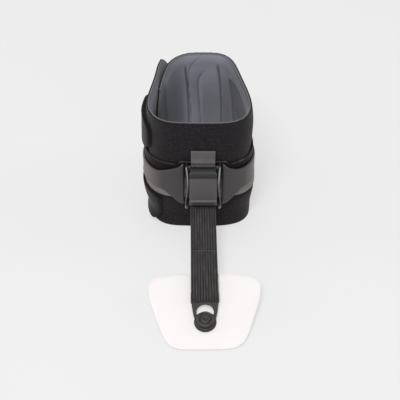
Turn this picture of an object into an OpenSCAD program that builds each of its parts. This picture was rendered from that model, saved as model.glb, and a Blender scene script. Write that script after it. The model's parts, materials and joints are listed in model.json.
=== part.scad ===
// Drop-foot support: a wrapped ankle cuff with a cam-lever buckle, an elastic strap
// and a keyhole tab that hangs on the button of a shoe inlay.
// Millimetres, Z up, front towards -Y. The origin is the centre of the cuff's bottom rim.

/* [View] */
// Which sub-part to draw, or all of them

/* [Cuff] */
// Height of the cuff from rim to rim
cuff_height = 112.8; // [80:0.1:160]
// Distance from the centre to the outside of the front
half_depth = 51.5; // [40:0.5:65]
// Half the cuff's width half-way back
half_width = 37.5; // [28:0.5:50]
// How much wider the front is than the middle
front_spread = 8.5; // [0:0.5:15]
// 2 is an ellipse, larger is closer to a rectangle
squareness = 3.4; // [2:0.1:6]
// Thickness of the three layers together
wall = 5; // [3:0.1:8]
// How far the overlapping layer stands off the layer beneath it
overlap_step = 6.6; // [5:0.1:9]
// Angle left of the front where the wrap starts to stand off
overlap_start = 15; // [5:1:40]
// Angle left of the front where it stands off fully
overlap_full = 65; // [45:1:90]

/* [Closure tabs] */
// Thickness of each tab
tab_thickness = 3.4; // [2:0.1:5]
// Thickness of the hook fastener under each tab
hook_thickness = 0.8; // [0.5:0.1:1.5]
// How much lower the upper tab's top edge is at its root
upper_fall = 16; // [0:0.5:20]
// How far the middle of each tab bulges off the cuff
tab_bulge = 2.2; // [0:0.1:5]
// Angle of the tabs' sewn roots, left of the front
root_angle = 165; // [155:1:170]

/* [Band and wings] */
// Height of the band's lower edge
band_low = 35; // [25:0.5:45]
// Height of the band's upper edge at the sides
band_high = 72; // [60:0.5:85]
// Thickness of the band
band_thickness = 1.6; // [1:0.1:3]
// Angle where the band ends on each side
band_end = 112; // [95:1:120]
// Thickness of each wing next to the buckle
wing_thickness = 2.3; // [1.5:0.1:4]

/* [Buckle] */
// Height of the lever's pin
pin_height = 68.5; // [60:0.5:70]
// Radius of the lever's pin
pin_radius = 1.5; // [1:0.1:2.5]
// Width of the lever
lever_width = 22.8; // [18:0.1:26]
// Height of the lever's lower lip
lever_low = 36.4; // [30:0.1:45]
// Distance between the middles of the two cheeks
cheek_pitch = 27.5; // [25:0.1:32]
// Thickness of each cheek
cheek_thickness = 1.3; // [0.8:0.1:2]

/* [Strap] */
// Width of the webbing
strap_width = 22; // [18:0.5:30]
// Thickness of one layer of webbing
strap_thickness = 1.6; // [1:0.1:3]
// Slope of the strap below the horizontal
strap_slope = 10.8; // [5:0.1:20]
// Turn of the strap to the right
strap_turn = 0.8; // [0:0.1:3]
// Distance from the buckle's exit to the seam where the strap is doubled
seam_at = 44; // [30:0.5:60]
// Distance from the buckle's exit to the end of the strap
strap_end = 91.5; // [70:0.5:110]

/* [Keyhole tab and button] */
// Distance from the buckle's exit to the button
button_at = 108.4; // [90:0.1:130]
// Distance from the button to the centre of the large hole
keyhole_travel = 8; // [5:0.1:9]
// Radius of the large hole
hole_radius = 6.95; // [6:0.05:9]
// Radius of the cap, which passes through the large hole
cap_radius = 6.8; // [5:0.1:9]
// Radius of the neck that sits in the slot
neck_radius = 3.7; // [2.5:0.1:5]
// Radius of the flange under the tab
flange_radius = 8.8; // [7:0.1:11]

/* [Shoe inlay] */
// Distance from the buckle's exit to the inlay's near edge
inlay_near = 64; // [55:0.5:80]
// Distance from the buckle's exit to the inlay's far edge
inlay_far = 131.8; // [115:0.1:150]
// Width of the near edge
near_width = 91; // [70:1:110]
// Width of the far edge
far_width = 58; // [40:1:80]
// Thickness of the sheet
inlay_thickness = 1.2; // [0.8:0.1:2]

/* [Hidden] */
$fn = 96;
skin = 0.05;              // gap between pieces that lie on each other
angle_step = 3;           // spacing of the outline's points
cover_thickness = 1.2;
lining_thickness = 2.8;
layer_gap = 0.1;          // left open between the wrap's layers
outer_end = -162;         // where the uncut wrap starts, left of the front
inner_end = 291;          // where it ends after going once round and on behind the left wall
edge_margin = 1;          // how far a cutter reaches past what it cuts
tab_upper = [76.5, 106];  // lower and upper edge of the upper closure tab
tab_lower = [2, 34];      // and of the lower one
upper_tip = -44;          // front end of the upper tab
lower_tip = -36;          // front end of the lower tab
root_gap = 0.3;           // angle left open between a root and its tab
root_width = 12;          // angle that each sewn root takes up
hook_length = 42;         // angle that each hook patch takes up
hook_end = 108;           // angle where the band's hook strip ends on each side
band_inner = 0.65;        // the hook strip's outer face
wing_start = 17.1;        // angle of each wing's end beside the buckle
wing_end = 104;           // angle of its far end
wing_inner = band_inner + skin + band_thickness + skin;
plate_back = -(half_depth + wing_inner);
plate_thickness = 1.3;
strap_back = plate_back - plate_thickness - skin;
strap_front = strap_back - strap_thickness;
cam_radius = 4.4;         // the cam's largest radius, which grips the strap
lever_round = 4.2;        // radius of the lever's rounded top
pin_y = strap_front - skin - cam_radius;
pin_gap = 0.05;
cheek_top = pin_height + 6.5;
base_top = pin_height + 2.6;   // the buckle's base plate ends under the pull tab's lean
guide_radius = 1.2;       // the bar that the strap bends under
guide_clear = 0.1;
bend_inner = guide_radius + guide_clear;
guide_y = strap_front - bend_inner;
bend_turn = 90 - strap_slope;
exit_point = [0, -60, 29];
guide_z = exit_point[2] + (guide_y - exit_point[1] + (bend_inner + strap_thickness) * sin(strap_slope))
    * tan(strap_slope) + (bend_inner + strap_thickness) * cos(strap_slope);
pull_foot = 71.5;         // where the strap leans back above the buckle
pull_top = 86;
pull_width = 20;
pull_thickness = 1.9;
tab_plate = 1.4;          // thickness of the keyhole tab
tongue = 13;              // length of the tab that is sewn between the layers
plate_top = -skin;
plate_bottom = plate_top - tab_plate;
flange_top = plate_bottom - skin;
flange_bottom = flange_top - 1.55;
inlay_top = flange_bottom - skin;
inlay_bottom = inlay_top - inlay_thickness;
shank_radius = 2;

// 0 below 0, 1 above 1 and a smooth rise between.
function smooth(x) = let (c = min(1, max(0, x))) c * c * (3 - 2 * c);

// The cuff's outline in plan. The angle is 0 at the front and grows towards the right.
function outline_width(t) = half_width + front_spread * cos(t);
function outline_radius(t) = pow(
    pow(abs(cos(t)) / half_depth, squareness) + pow(abs(sin(t)) / outline_width(t), squareness),
    -1 / squareness);
function on_outline(t) = outline_radius(t) * [sin(t), -cos(t)];
function outward(t) = let (along = on_outline(t + 1) - on_outline(t - 1))
    [along[1], -along[0]] / norm(along);

// How far the wrap's left wall stands off the outline, over the end beneath it.
function overlap(t) = t < 0
    ? overlap_step * smooth((-t - overlap_start) / (overlap_full - overlap_start))
    : 0;
function on_wall(t, d) = on_outline(t) + (overlap(t) + d) * outward(t);

// Angles at even steps that every sheet shares, with a few more at both ends for round corners.
end_steps = [0, 0.4, 1, 1.8];
function stations(t0, t1) = let (
        first = angle_step * ceil((t0 + 2) / angle_step),
        last = angle_step * floor((t1 - 2) / angle_step))
    concat(
        [for (e = end_steps) t0 + e],
        [for (t = [first : angle_step : last]) t],
        [for (i = [len(end_steps) - 1 : -1 : 0]) t1 - end_steps[i]]);

// How far an edge is drawn in near an end, for a corner of the given size.
function corner(from_end, length, rise) = from_end >= length
    ? 0
    : rise * (1 - sqrt(1 - pow(1 - from_end / length, 2)));

// A curved sheet on the cuff, given its edges and faces as functions of the angle.
module sheet(angles, lower, upper, inner, outer) {
    last = len(angles) - 1;
    points = [for (t = angles) each [
        [each on_wall(t, inner(t)), lower(t)],
        [each on_wall(t, outer(t)), lower(t)],
        [each on_wall(t, outer(t)), upper(t)],
        [each on_wall(t, inner(t)), upper(t)]]];
    sides = [for (i = [0 : last - 1], k = [0 : 3])
        let (a = 4 * i + k, b = 4 * i + (k + 1) % 4)
        each [[a, b, b + 4], [a, b + 4, a + 4]]];
    ends = [[0, 3, 2], [0, 2, 1],
        [4 * last, 4 * last + 1, 4 * last + 2], [4 * last, 4 * last + 2, 4 * last + 3]];
    polyhedron(points = points, faces = concat(sides, ends));
}

// A strip of the wrap in plan, from one angle to another and between two depths.
module wrap_strip(t0, t1, d0, d1) {
    angles = [t0 : angle_step : t1];
    polygon(concat(
        [for (t = angles) on_wall(t, d1)],
        [for (i = [0 : (t1 - t0) / angle_step]) on_wall(t1 - i * angle_step, d0)]));
}

// Children are drawn in a plane that faces the cuff at an angle, and pushed through its wall.
module through_wall(t) {
    rotate([0, 0, t]) rotate([90, 0, 0]) linear_extrude(height = 80) children();
}

// The free edge of the outer end: a pointed top corner, leaning back as it goes down.
module outer_end_shape() {
    top = cuff_height + edge_margin;
    polygon([[11.4, top], [3, 88], [0, 70], [0, -edge_margin], [-40, -edge_margin], [-40, top]]);
}

// The free edge of the inner end: its top slopes down, then it leans forward to the bottom.
module inner_end_shape() {
    top = cuff_height + edge_margin;
    polygon([[-20, top], [-18, cuff_height], [-8, 112.4], [2, 111.2], [9, 109.3], [14, 106.3],
        [17, 101.5], [19.5, 94], [22, 86], [26, 62], [29, 30], [30, -edge_margin],
        [60, -edge_margin], [60, top]]);
}

// One layer of the wrap, once round the ankle and on behind its own left wall.
module wrap_layer(d0, d1) {
    clear = overlap_step - wall;
    difference() {
        linear_extrude(height = cuff_height) wrap_strip(outer_end, inner_end, d0, d1);
        intersection() {
            through_wall(-150) outer_end_shape();
            translate([0, 0, -edge_margin]) linear_extrude(height = cuff_height + 2 * edge_margin)
                wrap_strip(outer_end - 12, -118, -wall - clear / 2, edge_margin);
        }
        intersection() {
            through_wall(-122) inner_end_shape();
            translate([0, 0, -edge_margin]) linear_extrude(height = cuff_height + 2 * edge_margin)
                wrap_strip(195, inner_end + 12, -wall - edge_margin, clear / 2);
        }
    }
}

module lining_pad() {
    color([0.36, 0.37, 0.42]) wrap_layer(-wall, -wall + lining_thickness);
}

module backing_layer() {
    color([0.55, 0.55, 0.57]) wrap_layer(-wall + lining_thickness + layer_gap, -cover_thickness - layer_gap);
}

module loop_cover() {
    color([0.13, 0.12, 0.13]) wrap_layer(-cover_thickness, 0);
}

// The tabs start on the back panel and climb over the outer end of the wrap.
// The base is the distance from on_wall(t, 0), which already stands off by overlap(t).
function tab_base(t) = layer_gap - overlap_step * (1 - smooth((t + root_angle - 1) / 11));
function hook_start(tip) = tip - hook_length;
function bulge(t, tip) = let (share = (t + root_angle) / (hook_start(tip) + root_angle))
    share < 0 || share > 1 ? 0 : tab_bulge * pow(sin(180 * share), 2);
function tab_inner(t, tip) = tab_base(t) + hook_thickness * smooth((t + root_angle) / 12) + skin + bulge(t, tip);

module closure_tab(tip, lower, upper) {
    sheet(stations(-root_angle, tip), lower, upper,
        function(t) tab_inner(t, tip),
        function(t) tab_inner(t, tip) + tab_thickness);
}

module tab_root(edges) {
    sheet([for (i = [0 : 4]) -root_angle - root_width + i * (root_width - root_gap) / 4],
        function(t) edges[0], function(t) edges[1],
        function(t) tab_base(t) + skin,
        function(t) tab_base(t) + skin + tab_thickness);
}

module hook_patch(tip, lower, upper) {
    inset = 1.5;
    last = angle_step * floor((tip - 2) / angle_step);
    sheet([for (t = [last - hook_length + angle_step : angle_step : last]) t],
        function(t) lower(t) + inset, function(t) upper(t) - inset,
        function(t) tab_base(t), function(t) tab_base(t) + hook_thickness);
}

function upper_low(t) = tab_upper[0] + corner(upper_tip - t, 10, 9);
function upper_high(t) = tab_upper[1] - corner(upper_tip - t, 12, 12) - upper_fall * smooth((-t - 75) / 50);
function lower_low(t) = tab_lower[0] + corner(lower_tip - t, 15, 23);
function lower_high(t) = tab_lower[1] - corner(lower_tip - t, 4, 4);

module upper_closure_tab() {
    color([0.14, 0.13, 0.14])
        closure_tab(upper_tip, function(t) upper_low(t), function(t) upper_high(t));
}

module upper_hook_patch() {
    color([0.1, 0.1, 0.1])
        hook_patch(upper_tip, function(t) upper_low(t), function(t) upper_high(t));
}

module upper_tab_root() {
    color([0.15, 0.14, 0.15]) tab_root([tab_upper[0], tab_upper[1] - upper_fall]);
}

module lower_closure_tab() {
    color([0.14, 0.13, 0.14])
        closure_tab(lower_tip, function(t) lower_low(t), function(t) lower_high(t));
}

module lower_hook_patch() {
    color([0.1, 0.1, 0.1])
        hook_patch(lower_tip, function(t) lower_low(t), function(t) lower_high(t));
}

module lower_tab_root() {
    color([0.15, 0.14, 0.15]) tab_root(tab_lower);
}

// The band rises beside the buckle and dips where the wings start.
function band_top(t) = band_high + 3 * (1 - smooth((abs(t) - 19) / 5))
    - corner(band_end - abs(t), 10, 9);
function band_bottom(t) = band_low + corner(band_end - abs(t), 10, 9);

module under_band() {
    color([0.3, 0.29, 0.29]) sheet(stations(-band_end, band_end),
        function(t) band_bottom(t), function(t) band_top(t),
        function(t) band_inner + skin, function(t) band_inner + skin + band_thickness);
}

module band_hook_strip() {
    color([0.1, 0.1, 0.1]) sheet([for (t = [-hook_end : angle_step : hook_end]) t],
        function(t) band_low + 6, function(t) band_high - 6,
        function(t) layer_gap, function(t) band_inner);
}

// A wing starts tall beside the buckle and runs back as a lower strip.
function wing_top(a) = 60.5 + 13.5 * (1 - smooth((a - wing_start + 6) / 26))
    + 7 * smooth((a - 44) / 30) + 1.5 - corner(a - wing_start, 2.5, 2.5);
function wing_bottom(a) = 29.3 + 13.5 * smooth((a - wing_start - 1) / 16) - 3 * smooth((a - 40) / 35);
function wing_outer(a) = wing_inner + 1 + (wing_thickness - 1) * (1 - smooth((a - 30) / 60));

module wing(side) {
    angles = stations(wing_start, wing_end);
    ordered = side > 0 ? angles : [for (i = [len(angles) - 1 : -1 : 0]) -angles[i]];
    sheet(ordered, function(t) wing_bottom(abs(t)), function(t) wing_top(abs(t)),
        function(t) wing_inner, function(t) wing_outer(abs(t)));
}

module left_wing() {
    color([0.3, 0.29, 0.29]) wing(-1);
}

module right_wing() {
    color([0.3, 0.29, 0.29]) wing(1);
}

// The middle of a cheek in front view: it bows inward at half height, out again and hooks in at the toe.
function cheek_x(z) = cheek_pitch / 2 - 1.6 * smooth((31 - z) / 4)
    - 1.1 * sin(180 * min(1.35, (cheek_top - min(z, cheek_top)) / 30));

// Children are drawn in the plane of Y and Z and given a width about the middle.
module across(width) {
    translate([-width / 2, 0, 0]) rotate([90, 0, 90]) linear_extrude(height = width) children();
}

module cheek_outline() {
    back = plate_back;
    front = pin_y - 2.4;
    polygon(concat(
        [[back, 33], [back, cheek_top]],
        [for (a = [90 : 12 : 180]) [pin_y + 2.4 * cos(a), cheek_top - 1.4 + 2.4 * sin(a)]],
        [[front + 0.4, 52], [guide_y - 3.2, 38]],
        [for (a = [180 : 15 : 300]) [guide_y - 0.8 + 2.6 * cos(a), guide_z - 1.8 + 2.6 * sin(a)]]));
}

module cheek(side) {
    low = guide_z - 5;
    heights = [for (z = [low : 2 : 78]) z];
    half = cheek_thickness / 2;
    intersection() {
        across(40) cheek_outline();
        translate([0, plate_back + edge_margin, 0]) rotate([90, 0, 0]) linear_extrude(height = 20)
            polygon(concat(
                [for (z = heights) [side * (cheek_x(z) - half), z]],
                [for (i = [len(heights) - 1 : -1 : 0])
                    [side * (cheek_x(heights[i]) + half), heights[i]]]));
    }
}

module buckle_frame() {
    color([0.32, 0.31, 0.31]) difference() {
        union() {
            across(cheek_pitch) polygon([[plate_back, 36], [plate_back, base_top],
                [plate_back - plate_thickness, base_top - 0.4], [plate_back - plate_thickness, 36]]);
            cheek(-1);
            cheek(1);
            translate([0, guide_y, guide_z]) rotate([0, 90, 0])
                cylinder(r = guide_radius, h = 2 * cheek_x(guide_z), center = true);
        }
        translate([0, pin_y, pin_height]) rotate([0, 90, 0])
            cylinder(r = pin_radius + pin_gap, h = 40, center = true);
    }
}

// Side view of the lever: cam and rounded top round the pin, a plate and a finger lip.
module lever_outline() {
    cam = [for (a = [-40 : 5 : 40]) (cam_radius - 0.4 * smooth(abs(a) / 40)) * [cos(a), sin(a)]];
    top = [for (a = [45 : 7.5 : 180]) lever_round * [cos(a), sin(a)]];
    drop = pin_height - lever_low;
    plate = [for (i = [1 : 6]) [-lever_round - 0.7 * sin(180 * i / 8), -drop * i / 7]];
    lip = [[-lever_round - 1, -drop + 0.6], [-lever_round - 0.5, -drop], [-lever_round + 1.2, -drop]];
    back = [for (i = [5 : -1 : 1]) [-lever_round + 2 - 0.7 * sin(180 * i / 8), -drop * i / 7]];
    polygon(concat(cam, top, plate, lip, back, [[-0.5, -4.2], [2, -3.8]]));
}

module lever() {
    color([0.29, 0.29, 0.29]) difference() {
        intersection() {
            translate([0, pin_y, pin_height]) across(lever_width) lever_outline();
            translate([0, -40, 0]) rotate([90, 0, 0]) linear_extrude(height = 40)
                rounded_front(lever_width, lever_low - edge_margin, pin_height + cam_radius, 3);
        }
        translate([0, pin_y, pin_height]) rotate([0, 90, 0])
            cylinder(r = pin_radius + pin_gap, h = 40, center = true);
    }
}

// A rectangle in front view whose top corners are rounded.
module rounded_front(width, low, high, radius) {
    polygon(concat(
        [[width / 2, low]],
        [for (a = [0 : 15 : 90]) [width / 2 - radius + radius * cos(a), high - radius + radius * sin(a)]],
        [for (a = [90 : 15 : 180]) [-width / 2 + radius + radius * cos(a), high - radius + radius * sin(a)]],
        [[-width / 2, low]]));
}

module lever_pin() {
    color([0.55, 0.55, 0.56]) translate([0, pin_y, pin_height]) rotate([0, 90, 0])
        cylinder(r = pin_radius, h = cheek_pitch + cheek_thickness + 0.8, center = true);
}

// The webbing inside the buckle: down behind the cam, then round the guide bar to the exit.
module inner_strap() {
    outside = bend_inner + strap_thickness;
    arc = [for (i = [0 : 12]) bend_turn * i / 12];
    exit_run = (guide_y + outside * sin(strap_slope) - exit_point[1]) / cos(strap_slope);
    forward = [-cos(strap_slope), -sin(strap_slope)];
    corner_out = [guide_y, guide_z] + outside * [cos(bend_turn), -sin(bend_turn)];
    corner_in = [guide_y, guide_z] + bend_inner * [cos(bend_turn), -sin(bend_turn)];
    color([0.24, 0.23, 0.24]) across(strap_width) polygon(concat(
        [[strap_front, pull_foot], [strap_back, pull_foot]],
        [for (a = arc) [guide_y, guide_z] + outside * [cos(a), -sin(a)]],
        [corner_out + exit_run * forward, corner_in + exit_run * forward],
        [for (i = [12 : -1 : 0]) [guide_y, guide_z] + bend_inner * [cos(arc[i]), -sin(arc[i])]]));
}

// The fabric end that is pulled up: it leans back over the band on to the cuff.
module pull_tab() {
    color([0.37, 0.36, 0.37]) across(pull_width) polygon([
        [strap_back, pull_foot + skin], [strap_back, pull_foot + 1],
        [-half_depth - 0.6, pull_foot + 7], [-half_depth - 0.6, pull_top],
        [-half_depth - 0.6 - pull_thickness, pull_top],
        [-half_depth - 0.6 - pull_thickness, pull_foot + 7],
        [strap_front, pull_foot + 1.6], [strap_front, pull_foot + skin]]);
}

// Two rows of stitches across the foot of the pull tab, where it begins to lean back.
module pull_tab_seam() {
    count = 9;
    pitch = 2;
    slope = (-half_depth - 0.6 - pull_thickness - strap_front) / 5.4;
    off_face = 0.37;
    color([0.12, 0.12, 0.12]) for (rise = [-0.9, 0.9], i = [0 : count - 1])
        translate([(i - (count - 1) / 2) * pitch,
            strap_front + slope * max(0, rise) - off_face, pull_foot + 1.6 + rise])
            cube([1.3, 0.3, 0.4], center = true);
}

// Children are placed along the strap: -Y runs away from the buckle, Z stands off the strap.
module on_strap() {
    translate(exit_point) rotate([0, 0, strap_turn]) rotate([strap_slope, 0, 0]) children();
}

// A box on the strap between two distances from the buckle and two heights.
module strap_box(width, near, far, low, high) {
    translate([-width / 2, -far, low]) cube([width, far - near, high - low]);
}

// The upper run of the elastic, from the buckle to the seam where it is doubled.
module elastic_strap() {
    color([0.26, 0.26, 0.26]) on_strap()
        strap_box(strap_width, 0.4, seam_at - skin, 0, strap_thickness);
}

// The top layer of the doubled run, from the seam to the keyhole tab.
module strap_loop() {
    color([0.26, 0.26, 0.26]) on_strap()
        strap_box(strap_width, seam_at, strap_end, 0, strap_thickness);
}

// The lower layer, which steps down to make room for the keyhole tab.
module strap_doubler() {
    step = tab_plate + skin;
    low = -skin - strap_thickness;
    start = strap_end - tongue;
    color([0.24, 0.24, 0.24]) on_strap() across(strap_width) polygon([
        [-seam_at, -skin], [-seam_at, low], [-start + 3, low],
        [-start, low - step], [-strap_end, low - step],
        [-strap_end, -skin - step], [-start, -skin - step], [-start + 3, -skin]]);
}

module doubler_seam() {
    count = 10;
    color([0.14, 0.14, 0.14]) on_strap() for (i = [0 : count - 1])
        translate([(i - (count - 1) / 2) * 2.1, -seam_at - 0.6, strap_thickness + skin + 0.15])
            cube([1.3, 0.4, 0.3], center = true);
}

module end_seam() {
    count = 10;
    color([0.14, 0.14, 0.14]) on_strap() for (row = [0 : 1], i = [0 : count - 1])
        translate([(i - (count - 1) / 2) * 2.1, -strap_end + 2.2 + 2.4 * row,
            strap_thickness + skin + 0.15])
            cube([1.3, 0.4, 0.3], center = true);
}

// The keyhole tab narrows towards the button and ends round.
module eyelet_outline() {
    tip = 8.2;
    wide = 10.6;
    start = strap_end - tongue;
    difference() {
        polygon(concat(
            [[-wide, -start], [wide, -start], [wide, -strap_end - 1]],
            [[wide - 0.5, -strap_end - 6], [wide - 1.3, -strap_end - 11]],
            [for (a = [15 : -7.5 : -195]) [0, -button_at] + tip * [cos(a), sin(a)]],
            [[1.3 - wide, -strap_end - 11], [0.5 - wide, -strap_end - 6], [-wide, -strap_end - 1]]));
        translate([0, -button_at + keyhole_travel]) circle(r = hole_radius);
        translate([0, -button_at]) circle(r = neck_radius + pin_gap);
        translate([-neck_radius - pin_gap, -button_at])
            square([2 * (neck_radius + pin_gap), keyhole_travel]);
    }
}

module eyelet_tab() {
    color([0.25, 0.24, 0.25]) on_strap() translate([0, 0, plate_bottom])
        linear_extrude(height = tab_plate) eyelet_outline();
}

// A cap with two raised rings, on a neck that fits the slot.
module button_cap() {
    base = plate_top + pin_gap;
    color([0.26, 0.25, 0.26]) on_strap() translate([0, -button_at, 0]) rotate_extrude() polygon([
        [shank_radius + pin_gap, base], [cap_radius - 0.4, base], [cap_radius, base + 0.5],
        [cap_radius, base + 2.2], [cap_radius - 0.7, base + 2.9], [5.2, base + 3.1],
        [5, base + 2.6], [3.4, base + 2.7], [3.2, base + 3.2], [1.4, base + 3.3],
        [1.2, base + 2.8], [0, base + 2.7], [0, base + 1.5], [shank_radius + pin_gap, base + 1.5]]);
}

// Flange, neck and shank in one turned piece.
module button_base() {
    cap_floor = plate_top + pin_gap;
    color([0.24, 0.23, 0.24]) on_strap() translate([0, -button_at, 0]) rotate_extrude() polygon([
        [0, inlay_bottom - 0.9], [shank_radius, inlay_bottom - 0.9], [shank_radius, flange_bottom],
        [flange_radius - 0.3, flange_bottom], [flange_radius, flange_bottom + 0.4],
        [flange_radius, flange_top - 0.4], [flange_radius - 0.3, flange_top],
        [neck_radius, flange_top], [neck_radius, cap_floor - skin / 2],
        [shank_radius, cap_floor - skin / 2], [shank_radius, cap_floor + 1.45], [0, cap_floor + 1.45]]);
}

module button_washer() {
    color([0.6, 0.6, 0.62]) on_strap() translate([0, -button_at, inlay_bottom - skin - 0.8])
        difference() {
            cylinder(r = 5.5, h = 0.8);
            translate([0, 0, -edge_margin]) cylinder(r = shank_radius + pin_gap, h = 3);
        }
}

// The shoe inlay in plan: a bowed near edge, straight sides and round corners.
module inlay_outline() {
    near_radius = 7;
    far_radius = 9;
    side = atan((near_width - far_width) / 2 / (inlay_far - inlay_near));
    bow = 3;
    near_x = near_width / 2 - near_radius;
    far_x = far_width / 2 - far_radius + 2;
    polygon(concat(
        [for (i = [-6 : 6]) [i / 6 * (near_x - 2), -inlay_near - bow * pow(i / 6, 2)]],
        [for (a = [75 : -15 : -side]) [near_x, -inlay_near - near_radius - bow] + near_radius * [cos(a), sin(a)]],
        [for (a = [-15 : -15 : -90]) [far_x, -inlay_far + far_radius] + far_radius * [cos(a), sin(a)]],
        [for (a = [-90 : -15 : -165]) [-far_x, -inlay_far + far_radius] + far_radius * [cos(a), sin(a)]],
        [for (a = [180 : -15 : 105]) [-near_x, -inlay_near - near_radius - bow] + near_radius * [cos(a), sin(a)]]));
}

module inlay() {
    color([0.96, 0.95, 0.94]) on_strap() translate([0, 0, inlay_bottom]) difference() {
        linear_extrude(height = inlay_thickness) inlay_outline();
        translate([0, -button_at, -edge_margin]) cylinder(r = shank_radius + pin_gap, h = 5);
    }
}

lining_pad();
backing_layer();
loop_cover();
upper_tab_root();
upper_closure_tab();
upper_hook_patch();
lower_tab_root();
lower_closure_tab();
lower_hook_patch();
band_hook_strip();
under_band();
left_wing();
right_wing();
buckle_frame();
lever();
lever_pin();
inner_strap();
pull_tab();
pull_tab_seam();
elastic_strap();
doubler_seam();
strap_loop();
strap_doubler();
end_seam();
eyelet_tab();
button_cap();
button_base();
button_washer();
inlay();
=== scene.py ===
"""Drop-foot support: the visible pieces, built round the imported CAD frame.

Lengths are in millimetres inside the builders and become metres when a piece is made.
The angle t runs round the cuff: 0 is the front, positive is towards the right (+X).
"""
import json

import bmesh
import bpy
import numpy as np
from mathutils import Matrix, Vector


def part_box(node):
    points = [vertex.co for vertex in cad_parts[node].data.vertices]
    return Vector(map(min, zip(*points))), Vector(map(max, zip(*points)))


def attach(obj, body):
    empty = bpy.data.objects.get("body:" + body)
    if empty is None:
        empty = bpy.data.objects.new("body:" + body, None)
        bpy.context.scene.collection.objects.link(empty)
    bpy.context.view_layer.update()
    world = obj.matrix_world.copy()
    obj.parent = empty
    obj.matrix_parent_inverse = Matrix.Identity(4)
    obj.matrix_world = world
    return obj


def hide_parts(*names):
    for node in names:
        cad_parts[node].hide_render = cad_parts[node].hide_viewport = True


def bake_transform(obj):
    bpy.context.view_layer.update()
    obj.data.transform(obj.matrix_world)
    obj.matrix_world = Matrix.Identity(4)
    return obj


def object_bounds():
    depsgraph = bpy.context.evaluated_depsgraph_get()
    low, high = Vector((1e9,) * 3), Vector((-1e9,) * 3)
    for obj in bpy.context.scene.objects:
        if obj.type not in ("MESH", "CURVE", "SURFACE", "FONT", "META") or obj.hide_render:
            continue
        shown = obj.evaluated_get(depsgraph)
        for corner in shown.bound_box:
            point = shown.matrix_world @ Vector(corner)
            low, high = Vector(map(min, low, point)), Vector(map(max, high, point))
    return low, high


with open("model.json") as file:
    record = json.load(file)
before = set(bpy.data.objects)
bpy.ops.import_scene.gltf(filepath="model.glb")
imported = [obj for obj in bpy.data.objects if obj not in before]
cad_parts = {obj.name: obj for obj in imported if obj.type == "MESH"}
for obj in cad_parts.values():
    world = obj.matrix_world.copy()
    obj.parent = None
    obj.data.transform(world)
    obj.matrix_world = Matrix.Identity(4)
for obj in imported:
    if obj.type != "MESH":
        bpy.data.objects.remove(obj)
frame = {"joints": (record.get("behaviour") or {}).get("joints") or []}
cad_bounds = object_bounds()

# ------------------------------------------------------------------ sizes from the frame
MM = 0.001


def box_mm(node):
    low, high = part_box(node)
    return np.array(low) / MM, np.array(high) / MM


def joint_point(name):
    joint = next(j for j in frame["joints"] if j["name"] == name)
    return np.array(joint["pos_m"]) / MM


CUFF_HEIGHT = box_mm("loop_cover")[1][2]
HALF_DEPTH = 51.5
PIN = joint_point("lever_open")
GUIDE = joint_point("strap_swing")
TAB_HINGE = joint_point("upper_tab_peel")
STRAP_WIDTH = box_mm("inner_strap")[1][0] * 2
PULL_TOP = box_mm("pull_tab")[1][2]
PULL_WIDTH = box_mm("pull_tab")[1][0] * 2
LEVER_LOW = box_mm("lever")[0][2]
LEVER_WIDTH = box_mm("lever")[1][0] * 2

# The cuff's outline, as in the CAD.
HALF_WIDTH = 37.5
FRONT_SPREAD = 8.5
SQUARENESS = 3.4
WALL = 5.0
OVERLAP_STEP = 6.6
COVER = 1.2
BACKING = 0.8
OUTER_END = -162.0
INNER_END = 291.0
ROOT_ANGLE = -165.0

# The strap: S runs forward from the buckle's exit, H stands off the strap's lower face.
EXIT = np.array([0.0, -60.0, 29.0])
STRAP_SLOPE = np.radians(10.8)
STRAP_TURN = np.radians(0.8)
STRAP = 1.6
SEAM_AT = 44.0
STRAP_END = 91.5
BUTTON_AT = 108.4
TAB_PLATE = 1.4
TONGUE = 13.0
SKIN = 0.05


# ------------------------------------------------------------------ the cuff's wall
def smooth(x):
    c = np.clip(x, 0.0, 1.0)
    return c * c * (3 - 2 * c)


def smooth_line(points, step=1.0):
    """A Catmull-Rom curve through points."""
    p = np.asarray(points, float)
    p = np.concatenate([[2 * p[0] - p[1]], p, [2 * p[-1] - p[-2]]])
    result = []
    for i in range(1, len(p) - 2):
        count = max(1, int(np.linalg.norm(p[i + 1] - p[i]) / step))
        for q in np.arange(count) / count:
            result.append(0.5 * (2 * p[i] + (p[i + 1] - p[i - 1]) * q
                                 + (2 * p[i - 1] - 5 * p[i] + 4 * p[i + 1] - p[i + 2]) * q ** 2
                                 + (3 * p[i] - p[i - 1] - 3 * p[i + 1] + p[i + 2]) * q ** 3))
    return np.array(result + [p[-2]])


def on_outline(t):
    a = np.radians(t)
    width = HALF_WIDTH + FRONT_SPREAD * np.cos(a)
    radius = (np.abs(np.cos(a) / HALF_DEPTH) ** SQUARENESS
              + np.abs(np.sin(a) / width) ** SQUARENESS) ** (-1 / SQUARENESS)
    return np.stack([radius * np.sin(a), -radius * np.cos(a)], -1)


def outward(t):
    along = on_outline(t + 1) - on_outline(t - 1)
    normal = np.stack([along[..., 1], -along[..., 0]], -1)
    return normal / np.linalg.norm(normal, axis=-1, keepdims=True)


def overlap(t):
    """How far the wrap's left wall stands off the outline, over the end beneath it."""
    return np.where(t < 0, OVERLAP_STEP * smooth((-t - 15) / 50), 0.0)


def on_wall(t, d):
    t = np.asarray(t, float)
    return on_outline(t) + (overlap(t) + d)[..., None] * outward(t)


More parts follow.
